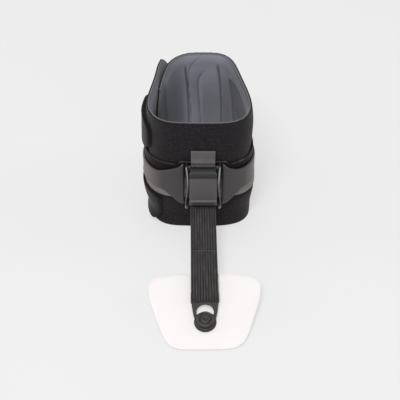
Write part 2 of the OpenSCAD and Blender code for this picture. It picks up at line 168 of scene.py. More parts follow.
# The soft wall isn't straight: it bulges above and below the band that squeezes it.
# Each pair is a height and how far the side stands off the CAD's straight wall there.
RIGHT_SWELL = [(0, 0.6), (12, 1.2), (22, 2.8), (30, 3.6), (38, 1.2), (47, -0.4), (70, -0.5), (78, 0.3), (95, 0.9),
               (105, 0.3), (CUFF_HEIGHT, -0.8)]
LEFT_SWELL = [(0, -1.6), (6, -3.0), (11, -3.1), (17, -1.6), (22, -0.2), (30, 0.9), (40, 1.2), (50, 0.5), (72, 0.5),
              (90, 0.0), (100, -0.4), (CUFF_HEIGHT, -0.4)]
RIM_SQUEEZE = 0.4
# The free outer end flares away from the leg towards its tip: turn from the front, distance.
FLARE = [(80, 0), (96, 0.5), (108, 1.1), (121, 2.0), (131, 3.0), (139, 3.7), (150, 4.2), (165, 4.4)]
INNER_BUMP = 2.4
# The bottom edge stands out a little at the two front corners.
HEM = {"left": 2.6, "right": 1.3, "middle": 1.4}
HEM_HEIGHT = 20.0


SWELL_CURVES = {"right": smooth_line(RIGHT_SWELL).T, "left": smooth_line(LEFT_SWELL).T}
FLARE_CURVE = smooth_line(FLARE).T


def swell(t, z):
    """How far the soft wall stands off the CAD's straight wall at an angle and a height."""
    turn = (np.asarray(t, float) + 180) % 360 - 180
    a = np.abs(turn)
    side = smooth((a - 22) / 28) * (1 - smooth((a - 110) / 50))
    profile = np.where(turn > 0, np.interp(z, *SWELL_CURVES["right"]), np.interp(z, *SWELL_CURVES["left"]))
    squeezed = smooth((a - 55) / 20) * (1 - smooth((a - 130) / 40)) * np.where(turn > 0, 1.0, 0.0)
    rim = -RIM_SQUEEZE * squeezed * smooth((z - 98) / 14)
    flare = np.where(t < 0, np.interp(-t, *FLARE_CURVE), 0.0) * smooth((z - 78) / 35)
    bump = INNER_BUMP * smooth((t - 198) / 26) * smooth((z - 60) / 50)
    hem = np.where(turn > 0, HEM["right"], HEM["left"]) * np.exp(-((a - 41) / 14) ** 2) * (1 - smooth(z / HEM_HEIGHT))
    middle = HEM["middle"] * np.exp(-(a / 32) ** 4) * (1 - smooth(z / HEM_HEIGHT))
    return side * profile + rim + flare + bump + hem + middle


TABLE_ANGLES = np.arange(-200.0, 330.0, 0.25)
TABLE_POINTS = on_wall(TABLE_ANGLES, np.zeros_like(TABLE_ANGLES))
TABLE_LENGTHS = np.concatenate([[0], np.cumsum(np.linalg.norm(np.diff(TABLE_POINTS, axis=0), axis=1))])


def length_at(t):
    return np.interp(t, TABLE_ANGLES, TABLE_LENGTHS)


def angle_at(length):
    return np.interp(length, TABLE_LENGTHS, TABLE_ANGLES)


def angles_between(t0, t1, step, end=1.0):
    """Angles at even steps along the wall, closer together in the last stretch at both ends."""
    l0, l1 = length_at(t0), length_at(t1)
    close = end * (1 - np.cos(np.radians([0, 25, 45, 65, 90])))
    count = max(2, int(round((l1 - l0 - 2 * end) / step)))
    middle = np.linspace(l0 + end, l1 - end, count + 1)
    return angle_at(np.concatenate([l0 + close[:-1], middle, (l1 - close[:-1])[::-1]]))


# ------------------------------------------------------------------ mesh builders
# A shape is (points, faces). Pieces are made of one or more shapes.
def skin(rings, closed=False, cap="ladder"):
    """A tube through rings of points. Its ends are closed by quads across the ring or by one face."""
    n, k, _ = rings.shape
    faces = []
    for i in range(n if closed else n - 1):
        a, b = i * k, ((i + 1) % n) * k
        faces += [(a + j, a + (j + 1) % k, b + (j + 1) % k, b + j) for j in range(k)]
    if not closed:
        for base in (0, (n - 1) * k):
            if cap == "ladder":
                faces += [(base + j, base + j + 1, base + k - 2 - j, base + k - 1 - j)
                          for j in range(k // 2 - 1)]
            elif cap == "face":
                faces.append(tuple(base + j for j in range(k)))
    return rings.reshape(-1, 3), faces


def rounded_section(rows, corner_steps=3):
    """A rectangle with round corners: place along its length, side, and the two corner offsets."""
    bend = np.radians(np.linspace(0, 90, corner_steps + 1))[1:]
    share = np.linspace(0, 1, rows + 1)
    half = [(0, -np.sin(a), np.cos(a)) for a in bend[::-1]]
    half += [(v, 0, 1) for v in share]
    half += [(1, np.sin(a), np.cos(a)) for a in bend]
    ring = [(v, 1, sv, sw) for v, sv, sw in half] + [(v, -1, sv, -sw) for v, sv, sw in half[::-1]]
    return np.array(ring, float).T


def end_scale(lengths, end, least=0.15):
    """Thickness next to a rounded end, as a share of the full thickness."""
    distance = np.minimum(lengths - lengths.min(), lengths.max() - lengths)
    q = np.clip(distance / end, 0, 1)
    return np.maximum(least, np.sqrt(1 - (1 - q) ** 2))


def sheet(angles, low, high, inner, outer, rows=12, edge=0.5, end=1.0, shift=None, relief=None, groove_shade=None):
    """A curved sheet on the cuff. Edges and faces are functions of the angle; relief(t, z) is
    taken off the inner face, a painted-shade function of (t, z) darkens its hollows, and shift(t, share) moves both
    ends with the height."""
    v, side, sv, sw = rounded_section(rows)
    t = np.repeat(np.asarray(angles, float)[:, None], len(v), 1)
    if shift is not None:
        t = shift(t, v)
    lengths = length_at(np.asarray(angles, float))
    half = (outer(t) - inner(t)) / 2 * end_scale(lengths, end)[:, None]
    middle = (outer(t) + inner(t)) / 2
    r = np.minimum(edge, 0.85 * half)
    z = low(t) + r + v * (high(t) - low(t) - 2 * r) + r * sv
    d = middle + side * (half - r) + r * sw
    if relief is not None:
        d = d + np.where(side < 0, relief(t, z), 0.0)
    xy = on_wall(t, d + swell(t, z))
    points, faces = skin(np.concatenate([xy, z[..., None]], -1))
    if groove_shade is None:
        return points, faces
    return points, faces, np.where(side < 0, groove_shade(t, z), 0.0).ravel()


def constant(value):
    return lambda t: np.full_like(np.asarray(t, float), value)


def corner(from_end, length, rise):
    q = np.clip(from_end / length, 0, 1)
    return rise * (1 - np.sqrt(1 - (1 - q) ** 2))


def inset_outline(outline, distance):
    """Moves a closed outline inwards along its own normals."""
    along = np.roll(outline, -1, 0) - np.roll(outline, 1, 0)
    normal = np.stack([-along[:, 1], along[:, 0]], -1)
    normal /= np.maximum(1e-9, np.linalg.norm(normal, axis=1, keepdims=True))
    x, y = outline[:, 0], outline[:, 1]
    area = np.sum(x * np.roll(y, -1) - np.roll(x, -1) * y)
    return outline + np.sign(area) * distance * normal


def densify(points, step):
    """Adds points along a closed outline so that no side is longer than the step."""
    result = []
    for a, b in zip(points, np.roll(points, -1, 0)):
        count = max(1, int(np.ceil(np.linalg.norm(b - a) / step)))
        result += [a + (b - a) * i / count for i in range(count)]
    return np.array(result)


def across(outline, width, edge=0.4, middle_x=None, slices=6):
    """An outline in the plane of Y and Z, given a width along X and round edges."""
    half = width / 2
    bend = np.radians([0, 30, 60, 90])
    near_end = edge * (1 - np.sin(bend))
    inset = edge * (1 - np.sin(bend[::-1])) if edge else near_end
    xs = np.concatenate([-half + edge * (1 - np.cos(bend)), np.linspace(-half + edge, half - edge, slices)[1:-1],
                         half - edge * (1 - np.cos(bend[::-1]))])
    insets = np.concatenate([edge * (1 - np.sin(bend)), np.zeros(slices - 2), edge * (1 - np.sin(bend[::-1]))])
    rings = []
    for x, inward in zip(xs, insets):
        ring = inset_outline(outline, inward)
        centre = np.zeros(len(ring)) if middle_x is None else middle_x(ring[:, 1])
        rings.append(np.stack([centre + x, ring[:, 0], ring[:, 1]], -1))
    return skin(np.array(rings), cap="face")


def turned(profile, steps=64):
    """A profile of (radius, height) turned round the vertical. It starts and ends on the axis or meets itself."""
    profile = np.asarray(profile, float)
    a = np.linspace(0, 2 * np.pi, steps, endpoint=False)
    rings = np.stack([np.outer(np.cos(a), profile[:, 0]), np.outer(np.sin(a), profile[:, 0]),
                      np.tile(profile[:, 1], (steps, 1))], -1)
    n, k, _ = rings.shape
    faces = []
    for i in range(n):
        a0, b0 = i * k, ((i + 1) % n) * k
        faces += [(a0 + j, a0 + j + 1, b0 + j + 1, b0 + j) for j in range(k - 1)]
    return rings.reshape(-1, 3), faces


def rod(start, stop, radius, chamfer=0.3, steps=32):
    """A round rod with chamfered ends."""
    start, stop = np.asarray(start, float), np.asarray(stop, float)
    length = np.linalg.norm(stop - start)
    profile = [(0, 0), (radius - chamfer, 0), (radius, chamfer), (radius, length / 2),
               (radius, length - chamfer), (radius - chamfer, length), (0, length)]
    points, faces = turned(profile, steps)
    turn = Vector((0, 0, 1)).rotation_difference(Vector(stop - start)).to_matrix()
    return points @ np.array(turn).T + start, faces


def ring_plate(centre, inner, outer, low, high, edge, rows, angles):
    """A plate between two outlines that are given as radii about a centre, for every angle."""
    v, side, sv, sw = rounded_section(rows)
    r_in, r_out = inner[:, None], outer[:, None]
    radius = r_in + edge + v * (r_out - r_in - 2 * edge) + edge * sv
    h = (low + high) / 2 + side * ((high - low) / 2 - edge) + edge * sw
    x = centre[0] + radius * np.cos(angles)[:, None]
    y = centre[1] + radius * np.sin(angles)[:, None]
    return skin(np.stack([x, y, np.broadcast_to(h, x.shape)], -1), closed=True)


def radii(outline, centre, angles):
    """Distance from the centre to an outline round it, along each angle."""
    p = np.asarray(outline, float) - centre
    a = np.arctan2(p[:, 1], p[:, 0])
    order = np.argsort(a)
    return np.interp(angles, a[order], np.linalg.norm(p, axis=1)[order], period=2 * np.pi)


def thread(path, radius, sides=6):
    """A thin round thread along a path of points."""
    path = np.asarray(path, float)
    along = np.gradient(path, axis=0)
    along /= np.linalg.norm(along, axis=1, keepdims=True)
    side_axis = np.cross(along, [0.31, 0.27, 0.91])
    side_axis /= np.linalg.norm(side_axis, axis=1, keepdims=True)
    up_axis = np.cross(along, side_axis)
    a = np.linspace(0, 2 * np.pi, sides, endpoint=False)
    share = np.linspace(0, 1, len(path))
    size = radius * np.sqrt(np.clip(1 - (2 * share - 1) ** 8, 0.1, 1))
    rings = (path[:, None] + size[:, None, None] * (np.cos(a)[None, :, None] * side_axis[:, None]
                                                    + np.sin(a)[None, :, None] * up_axis[:, None]))
    return skin(rings, cap="face")


def stitches(xs, length, rise, radius, place):
    """Short threads that come out of the cloth and go back in, one at each x."""
    shapes = []
    for x in xs:
        share = np.linspace(0, 1, 7)
        local = np.stack([x + length * (share - 0.5), np.zeros(7), rise * np.sin(np.pi * share) - radius], -1)
        shapes.append(thread(place(local), radius))
    return shapes


def on_strap(points):
    """(x, distance forward, height off the strap) to the frame's own axes."""
    points = np.asarray(points, float)
    x, s, h = points[..., 0], points[..., 1], points[..., 2]
    cs, sn = np.cos(STRAP_SLOPE), np.sin(STRAP_SLOPE)
    y, z = -s * cs - h * sn, -s * sn + h * cs
    ct, st = np.cos(STRAP_TURN), np.sin(STRAP_TURN)
    return EXIT + np.stack([x * ct - y * st, x * st + y * ct, z], -1)


def strap_place(shape):
    points, faces = shape
    return on_strap(points), faces


# ------------------------------------------------------------------ pieces
def piece(name, shapes, look, body, replaces=(), flat=False):
    """Joins shapes into one object in metres, gives it its material and lets it ride on a body."""
    mesh = bpy.data.meshes.new(name)
    points, faces, groove_shades, base = [], [], [], 0
    for shape_points, shape_faces, *groove_shade in shapes:
        points.append(np.asarray(shape_points, float))
        faces += [tuple(base + i for i in face) for face in shape_faces]
        groove_shades.append(groove_shade[0] if groove_shade else np.zeros(len(shape_points)))
        base += len(shape_points)
    mesh.from_pydata((np.concatenate(points) * MM).tolist(), [], faces)
    # Each point keeps its painted shade for hollows as a mesh attribute, which the lining and webbing materials read.
    mesh.attributes.new("groove_shade", "FLOAT", "POINT").data.foreach_set("value", np.concatenate(groove_shades))
    build = bmesh.new()
    build.from_mesh(mesh)
    bmesh.ops.remove_doubles(build, verts=build.verts, dist=1e-6)
    bmesh.ops.dissolve_degenerate(build, dist=1e-7, edges=build.edges)
    bmesh.ops.recalc_face_normals(build, faces=build.faces)
    for face in build.faces:
        face.smooth = not flat
    build.to_mesh(mesh)
    build.free()
    made = bpy.data.objects.new(name, mesh)
    bpy.context.scene.collection.objects.link(made)
    mesh.materials.append(look)
    if replaces:
        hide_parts(*replaces)
    if body:
        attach(made, body)
    return made


# ------------------------------------------------------------------ materials
class Look:
    """A procedural material: a Principled shader, fed by a few helper nodes."""

    def __init__(self, name, roughness=0.6, sheen=0.0, specular=0.4):
        self.material = bpy.data.materials.new(name)
        self.material.use_nodes = True
        self.nodes = self.material.node_tree.nodes
        self.links = self.material.node_tree.links
        self.shader = self.nodes["Principled BSDF"]
        self.shader.inputs["Roughness"].default_value = roughness
        self.shader.inputs["Sheen Weight"].default_value = sheen
        self.shader.inputs["Sheen Roughness"].default_value = 0.45
        self.shader.inputs["Specular IOR Level"].default_value = specular
        self.place = self.nodes.new("ShaderNodeTexCoord").outputs["Object"]
        self.height = None

    def link(self, output, target):
        self.links.new(output, target)

    def stretched(self, scale, turn=(0, 0, 0)):
        """Object coordinates, turned and then scaled by cycles per metre along each axis."""
        node = self.nodes.new("ShaderNodeMapping")
        node.inputs["Scale"].default_value = scale
        node.inputs["Rotation"].default_value = turn
        self.link(self.place, node.inputs["Vector"])
        return node.outputs["Vector"]

    def noise(self, per_mm, detail=3.0, roughness=0.6, vector=None):
        node = self.nodes.new("ShaderNodeTexNoise")
        node.inputs["Scale"].default_value = per_mm / MM if vector is None else 1.0
        node.inputs["Detail"].default_value = detail
        node.inputs["Roughness"].default_value = roughness
        self.link(vector if vector is not None else self.place, node.inputs["Vector"])
        return node.outputs["Fac"]

    def wave(self, vector, direction="X", distortion=0.0, detail_scale=1.0):
        node = self.nodes.new("ShaderNodeTexWave")
        node.bands_direction = direction
        node.inputs["Scale"].default_value = 0.5
        node.inputs["Distortion"].default_value = distortion
        node.inputs["Detail Scale"].default_value = detail_scale
        self.link(vector, node.inputs["Vector"])
        return node.outputs["Fac"]

    def ramp(self, value, stops):
        node = self.nodes.new("ShaderNodeValToRGB")
        ramp = node.color_ramp
        while len(ramp.elements) < len(stops):
            ramp.elements.new(0.5)
        for element, (position, colour) in zip(ramp.elements, stops):
            element.position = position
            element.color = (*colour, 1)
        self.link(value, node.inputs["Fac"])
        return node.outputs["Color"]

    def math(self, operation, a, b):
        node = self.nodes.new("ShaderNodeMath")
        node.operation = operation
        for socket, value in zip(node.inputs, (a, b)):
            if isinstance(value, (int, float)):
                socket.default_value = value
            else:
                self.link(value, socket)
        return node.outputs[0]

    def attribute(self, name):
        node = self.nodes.new("ShaderNodeAttribute")
        node.attribute_name = name
        return node.outputs["Fac"]

    def axis(self, letter, kind="Object"):
        """One coordinate of the surface point in metres, or of its normal."""
        node = self.nodes.new("ShaderNodeSeparateXYZ")
        self.link(self.nodes["Texture Coordinate"].outputs[kind], node.inputs[0])
        return node.outputs[letter]

    def between(self, value, start, stop):
        """0 below start, 1 above stop, with an even slope from one to the other."""
        node = self.nodes.new("ShaderNodeMapRange")
        node.inputs["From Min"].default_value = start
        node.inputs["From Max"].default_value = stop
        self.link(value, node.inputs["Value"])
        return node.outputs["Result"]

    def mix(self, a, b, share, blend="MIX"):
        node = self.nodes.new("ShaderNodeMix")
        node.data_type = "RGBA"
        node.blend_type = blend
        factor, first, second = node.inputs[0], node.inputs[6], node.inputs[7]
        for socket, value in ((factor, share), (first, a), (second, b)):
            if isinstance(value, (int, float)):
                socket.default_value = value
            elif isinstance(value, tuple):
                socket.default_value = (*value, 1)
            else:
                self.link(value, socket)
        return node.outputs[2]

    def colour(self, value):
        if isinstance(value, tuple):
            self.shader.inputs["Base Color"].default_value = (*value, 1)
        else:
            self.link(value, self.shader.inputs["Base Color"])

    def bump(self, value, depth_mm, strength=1.0):
        """Adds a bump of the given depth on top of the earlier ones."""
        node = self.nodes.new("ShaderNodeBump")
        node.inputs["Distance"].default_value = depth_mm * MM
        node.inputs["Strength"].default_value = strength
        self.link(value, node.inputs["Height"])
        if self.height is not None:
            self.link(self.height, node.inputs["Normal"])
        self.height = node.outputs["Normal"]
        self.link(self.height, self.shader.inputs["Normal"])

    def vary_roughness(self, value, low, high):
        node = self.nodes.new("ShaderNodeMapRange")
        node.inputs["To Min"].default_value = low
        node.inputs["To Max"].default_value = high
        self.link(value, node.inputs["Value"])
        self.link(node.outputs["Result"], self.shader.inputs["Roughness"])

    def edge_wear_and_highlight(self, base, worn_and_lit, width=0.06):
        """Lightens the convex edges: wear, and a painted highlight along the bevels."""
        geometry = self.nodes.new("ShaderNodeNewGeometry")
        edges = self.ramp(geometry.outputs["Pointiness"], [(0.5 + width / 3, (0, 0, 0)), (0.5 + width, (1, 1, 1))])
        return self.mix(base, worn_and_lit, edges)


def grey(value, red=1.0, green=1.0, blue=1.0):
    return (value * red, value * green, value * blue)


def lining_look():
    look = Look("moulded_foam", roughness=0.55, sheen=0.12, specular=0.35)
    cloud = look.noise(0.03, detail=2.0)
    grain = look.noise(2.2, detail=4.0)
    base = look.ramp(cloud, [(0.35, (0.250, 0.262, 0.306)), (0.65, (0.298, 0.302, 0.360))])
    # Painted shade: the side walls are darker than the back wall.
    left = look.between(look.axis("X"), -0.014, -0.030)
    right = look.between(look.axis("X"), 0.014, 0.028)
    base = look.mix(base, (0.106, 0.110, 0.130), look.math("MULTIPLY", look.math("MAXIMUM", left, right), 0.82))
    # Painted shade: right of the middle, the lining darkens lower down.
    deep_shade = look.math("MULTIPLY", look.between(look.axis("X"), -0.002, 0.001), look.between(look.axis("Z"), 0.095, 0.065))
    base = look.mix(base, (0.140, 0.140, 0.160), look.math("MULTIPLY", deep_shade, 0.6))
    # Painted shade: the lining is darker near the top rim.
    rim = look.between(look.axis("Z"), 0.098, 0.106)
    base = look.mix(base, (0.150, 0.155, 0.180), look.math("MULTIPLY", rim, 0.45))
    base = look.mix(base, grey(0.140, 1, 1, 1.12), look.math("MULTIPLY", grain, 0.4))
    # Painted shade in the mould's grooves and recesses.
    base = look.mix(base, (0.058, 0.058, 0.078), look.math("MULTIPLY", look.attribute("groove_shade"), 0.85))
    cut_edge = look.math("MULTIPLY", look.between(look.axis("X"), 0.020, 0.030), look.between(look.axis("Z"), 0.1095, 0.1105))
    look.colour(look.mix(base, (0.100, 0.112, 0.104), cut_edge))
    look.vary_roughness(grain, 0.45, 0.68)
    look.bump(grain, 0.10, 0.5)
    look.bump(look.noise(0.25, detail=2.0), 0.3, 0.25)
    return look.material


def backing_look():
    look = Look("backing_felt", roughness=0.9, sheen=0.3, specular=0.2)
    fibres = look.noise(4.0, detail=5.0, roughness=0.7)
    look.colour(look.ramp(fibres, [(0.3, grey(0.06)), (0.7, grey(0.18, 1, 0.99, 0.97))]))
    look.bump(fibres, 0.15)
    return look.material


def loop_look(name, dark, light):
    """Brushed loop fabric: tiny tangled loops that catch a little light."""
    look = Look(name, roughness=0.95, sheen=0.12, specular=0.12)
    loops = look.noise(1.7, detail=5.0, roughness=0.75)
    tufts = look.noise(0.45, detail=3.0)
    blotches = look.noise(0.05, detail=2.0)
    mottle = look.noise(0.75, detail=2.0, roughness=0.8)
    base = look.ramp(loops, [(0.36, dark), (0.66, light)])
    base = look.mix(base, grey(0.005), look.math("MULTIPLY", look.math("SUBTRACT", 1.0, tufts), 0.5))
    base = look.mix(base, tuple(c * 1.9 for c in light), look.math("MULTIPLY", look.between(mottle, 0.48, 0.72), 0.55))
    base = look.mix(base, grey(0.003), look.math("MULTIPLY", look.between(mottle, 0.50, 0.30), 0.5))
    look.colour(look.mix(base, light, look.math("MULTIPLY", blotches, 0.14)))
    look.bump(loops, 0.25, 0.9)
    look.bump(tufts, 0.35, 0.5)
    return look.material


def hook_look():
    look = Look("hook_fastener", roughness=0.5, specular=0.4)
    cells = look.nodes.new("ShaderNodeTexVoronoi")
    cells.inputs["Scale"].default_value = 1.1 / MM
    look.link(look.place, cells.inputs["Vector"])
    look.colour(look.ramp(cells.outputs["Distance"], [(0.0, grey(0.06)), (0.5, grey(0.008))]))
    look.bump(look.math("SUBTRACT", 1.0, cells.outputs["Distance"]), 0.3)
    return look.material


def plastic_look(name, base, worn_and_lit, roughness, grain_depth=0.03, shade=None):
    """Moulded plastic. The shade, if given, paints into its colour the light and shade that the piece's own shape
    catches.
    """
    look = Look(name, roughness=roughness, specular=0.5)
    grain = look.noise(3.0, detail=3.0)
    cloud = look.noise(0.06, detail=2.0)
    colour = look.mix(base, tuple(c * 1.25 for c in base), cloud)
    if shade is not None:
        colour = shade(look, colour)
    look.colour(look.edge_wear_and_highlight(colour, worn_and_lit))
    look.vary_roughness(look.mix(grain, cloud, 0.5), roughness - 0.07, roughness + 0.1)
    look.bump(grain, grain_depth, 0.6)
    return look.material


def band_shade(look, colour):
    """Painted shade on the band above the wings, and a pale, warm painted highlight where it shows below them."""
    height = look.axis("Z")
    colour = look.mix(colour, (0.150, 0.130, 0.126), look.between(height, 0.047, 0.042))
    above = look.between(height, 0.055, 0.060)
    look.link(look.math("SUBTRACT", 0.5, look.math("MULTIPLY", above, 0.42)), look.shader.inputs["Specular IOR Level"])
    return look.mix(colour, (0.0075, 0.0055, 0.0065), above)


def wing_shade(look, colour):
    """The wings catch more light as they turn round to the sides."""
    side = look.math("ABSOLUTE", look.axis("X"), 0.0)
    return look.mix(colour, (0.135, 0.118, 0.112), look.math("MULTIPLY", look.between(side, 0.035, 0.047), 0.8))


def frame_shade(look, colour):
    """Painted highlight on the cheeks' front faces, strongest near the top and at the toe; painted shade on the plate
    behind the strap.
    """
    depth = look.axis("Y")
    colour = look.mix(colour, grey(0.012), look.between(depth, -0.0600, -0.0585))
    front = look.between(depth, -0.0612, -0.0622)
    highlight_share = look.math("ADD", look.math("MULTIPLY", look.between(look.axis("Z"), 0.056, 0.064), 0.65), 0.35)
    front = look.math("MULTIPLY", front, highlight_share)
    toe = look.math("MULTIPLY", look.between(look.axis("Z"), 0.0325, 0.0315), look.between(depth, -0.0590, -0.0598))
    return look.mix(colour, grey(0.26, 1, 1, 0.99), look.math("MAXIMUM", front, toe))


def lever_shade(look, colour):
    """Painted shade: the rolled top of the lever is darker than its plate, and so is the underside of its lip."""
    height = look.axis("Z")
    top = look.between(height, PIN[2] * MM - 0.0022, PIN[2] * MM - 0.0012)
    look.link(look.math("SUBTRACT", 0.5, look.math("MULTIPLY", top, 0.40)), look.shader.inputs["Specular IOR Level"])
    colour = look.mix(colour, (0.0300, 0.0325, 0.0285), look.math("MULTIPLY", top, 0.95))
    low = look.between(height, LEVER_LOW * MM + 0.0052, LEVER_LOW * MM + 0.0044)
    return look.mix(colour, grey(0.045), look.math("MULTIPLY", low, 0.85))


def steel_look():
    look = Look("blackened_steel", roughness=0.45)
    look.shader.inputs["Metallic"].default_value = 0.8
    marks = look.noise(1.0, detail=3.0, vector=look.stretched((150, 4000, 4000)))
    look.colour(look.ramp(marks, [(0.3, grey(0.018)), (0.7, grey(0.04))]))
    look.vary_roughness(marks, 0.25, 0.5)
    look.bump(marks, 0.02)
    return look.material


def webbing_look(name, dark, light, slope):
    """Ribbed elastic: fine picks run across the ribs, and the yarns differ a little in shade."""
    look = Look(name, roughness=0.85, sheen=0.18, specular=0.2)
    turned_back = (slope, 0, 0)
    picks = look.wave(look.stretched((60, 1500, 60), turned_back), "Y", distortion=1.5)
    yarns = look.noise(1.0, detail=2.0, vector=look.stretched((420, 110, 110), turned_back))
    fuzz = look.noise(3.0, detail=4.0)
    base = look.ramp(yarns, [(0.30, dark), (0.70, light)])
    base = look.mix(base, grey(0.012), look.math("MULTIPLY", look.math("SUBTRACT", 1.0, picks), 0.35))
    # Painted shade in the grooves between the ribs.
    look.colour(look.mix(base, grey(0.006), look.math("MULTIPLY", look.attribute("groove_shade"), 0.9)))
    look.bump(picks, 0.12, 0.6)
    look.bump(fuzz, 0.08, 0.6)
    return look.material


def label_look():
    look = Look("woven_label", roughness=0.7, sheen=0.2, specular=0.3)
    warp = look.wave(look.stretched((2600, 60, 60)), "X")
    weft = look.wave(look.stretched((60, 60, 3000)), "Z")
    weave = look.math("MULTIPLY", warp, weft)
    cloud = look.noise(0.12, detail=2.0)
    base = look.ramp(cloud, [(0.3, (0.108, 0.098, 0.104)), (0.7, (0.142, 0.129, 0.137))])
    # Darker bands along the stitch rows: the needle holes, and painted shade beside each row, broken up by noise.
    for row in STITCH_ROWS:
        distance = look.math("ABSOLUTE", look.math("SUBTRACT", look.axis("Z"), row * MM), 0.0)
        holes_and_shade = look.math("MULTIPLY", look.between(distance, 0.0009, 0.0004), look.ramp(
            look.noise(1.4, detail=1.0), [(0.40, grey(0.35)), (0.60, grey(1.0))]))
        base = look.mix(base, grey(0.012), holes_and_shade)
    look.colour(look.mix(base, grey(0.06), look.math("MULTIPLY", look.math("SUBTRACT", 1.0, weave), 0.45)))
    look.bump(weave, 0.08, 0.7)
    return look.material


def thread_look():
    look = Look("sewing_thread", roughness=0.7, sheen=0.2)
    twist = look.wave(look.stretched((2500, 2500, 2500), (0.5, 0.4, 0.6)), "X")
    look.colour(look.ramp(twist, [(0.2, grey(0.005)), (0.9, grey(0.020))]))
    look.bump(twist, 0.05)
    return look.material


def inlay_look():
    look = Look("white_inlay_plastic", roughness=0.35, specular=0.4)
    cloud = look.noise(0.02, detail=2.0)
    look.colour(look.ramp(cloud, [(0.3, (0.715, 0.695, 0.690)), (0.7, (0.740, 0.716, 0.710))]))
    look.shader.inputs["Subsurface Weight"].default_value = 0.15
    look.shader.inputs["Subsurface Radius"].default_value = (0.002, 0.002, 0.002)
    look.bump(look.noise(1.2, detail=3.0), 0.03, 0.5)
    return look.material


STITCH_ROWS = (PULL_TOP - 11.5, PULL_TOP - 13.9)
LINING = lining_look()
FELT = backing_look()
LOOP = loop_look("loop_fabric", (0.0062, 0.0046, 0.0060), (0.0215, 0.0165, 0.0205))
# A darker copy of the cover's loop fabric: painted shade for the closure flaps, which face the key lamp.
TAB_LOOP_SHADED = loop_look("tab_fabric_shaded", (0.0034, 0.0028, 0.0031), (0.0115, 0.0098, 0.0102))
HOOK = hook_look()
BAND_PLASTIC = plastic_look("band_polymer", (0.050, 0.045, 0.045), (0.085, 0.076, 0.074), 0.45, shade=band_shade)
WING_PLASTIC = plastic_look("wing_polymer", (0.031, 0.027, 0.028), (0.072, 0.065, 0.063), 0.45, shade=wing_shade)
FRAME_PLASTIC = plastic_look("buckle_polymer", (0.040, 0.036, 0.036), (0.065, 0.060, 0.060), 0.45, shade=frame_shade)
LEVER_PLASTIC = plastic_look("lever_polymer", (0.066, 0.062, 0.064), (0.10, 0.095, 0.098), 0.42, shade=lever_shade)
TAB_PLASTIC = plastic_look("keyhole_polymer", (0.016, 0.0135, 0.0135), (0.045, 0.040, 0.039), 0.5)
FLANGE_PLASTIC = plastic_look("flange_polymer", (0.0060, 0.0050, 0.0050), (0.016, 0.0145, 0.014), 0.55)
STEEL = steel_look()
WEBBING = webbing_look("ribbed_elastic", (0.032, 0.029, 0.029), (0.070, 0.064, 0.063), float(STRAP_SLOPE))
WEBBING_FLAT = webbing_look("ribbed_webbing", (0.024, 0.022, 0.022), (0.050, 0.046, 0.046), 0.0)
LABEL = label_look()
THREAD = thread_look()
INLAY = inlay_look()


# ------------------------------------------------------------------ the wrap
def end_angle(plane_angle, base_angles, layer_overlap):
    """For a plane that faces the cuff: the angle where the wall reaches a given place along it."""
    axis = np.array([np.cos(np.radians(plane_angle)), np.sin(np.radians(plane_angle))])
    points = on_outline(base_angles)
    if layer_overlap:
        points = on_wall(base_angles, np.zeros_like(base_angles))
    places = points @ axis
    return lambda x: np.interp(x, places, base_angles)


OUTER_PLANE, INNER_PLANE = -150, -122
outer_angle = end_angle(OUTER_PLANE, np.arange(-179.0, -100.0, 0.5), True)
inner_angle = end_angle(INNER_PLANE, np.arange(200.0, 312.0, 0.5), False)


# Free edges of the wrap: the place along the end's plane for each height.
OUTER_EDGE = smooth_line([(0, 0), (35, 0), (70, 0.2), (88, 0.8), (98, 1.8), (105, 4.2), (109, 6.2), (CUFF_HEIGHT, 9.0)])
INNER_EDGE = smooth_line([(0, 31), (30, 31), (62, 29), (86, 25), (94, 21.5), (101.5, 18), (106.3, 14)])
INNER_TOP = smooth_line([(-30, CUFF_HEIGHT), (-18, CUFF_HEIGHT), (-8, 112.4), (2, 111.2), (9, 109.3), (14, 106.3)])
END_SPAN = 30.0


def wrap_shift(t, v):
    """Moves the wrap's two ends on to their free edges and fades the move out behind them."""
    z = v * CUFF_HEIGHT
    start = outer_angle(np.interp(z, OUTER_EDGE[:, 0], OUTER_EDGE[:, 1])) - OUTER_END
    stop = inner_angle(np.interp(v * 106.3, INNER_EDGE[:, 0], INNER_EDGE[:, 1])) - INNER_END
    near_start = 1 - smooth((t - OUTER_END) / END_SPAN)
    near_stop = 1 - smooth((INNER_END - t) / END_SPAN)
    return t + start * near_start + stop * near_stop


INNER_PLACES = on_outline(np.arange(200.0, 312.0, 0.5)) @ np.array(
    [np.cos(np.radians(INNER_PLANE)), np.sin(np.radians(INNER_PLANE))])


def wrap_top(t):
    """Height of the top rim: level, but for the slope at the inner end."""
    place = np.interp(t, np.arange(200.0, 312.0, 0.5), INNER_PLACES)
    return np.where(t > 205, np.interp(place, INNER_TOP[:, 0], INNER_TOP[:, 1]), CUFF_HEIGHT)


def wrap_layer(inner, outer, step, rows, edge, drop=0.0, relief=None, groove_shade=None):
    """One layer of the wrap; its top rim lies a little below the cuff's height, uneven like a cut edge."""
    angles = angles_between(OUTER_END, INNER_END, step, end=0.8)

    def top(t):
        return wrap_top(t) - drop - FRAY * (0.5 + 0.3 * np.sin(0.9 * t + drop) + 0.2 * np.sin(2.3 * t + 5 * drop))

    return sheet(angles, constant(0.0), top, inner, outer, rows, edge, end=0.5, shift=wrap_shift, relief=relief,
                 groove_shade=groove_shade)


def line_on_wall(points):
    """A drawn line of (angle, height) as a smooth curve in unrolled millimetres."""
    curve = smooth_line(points, step=1.0)
    return np.stack([length_at(curve[:, 0]), curve[:, 1]], -1)


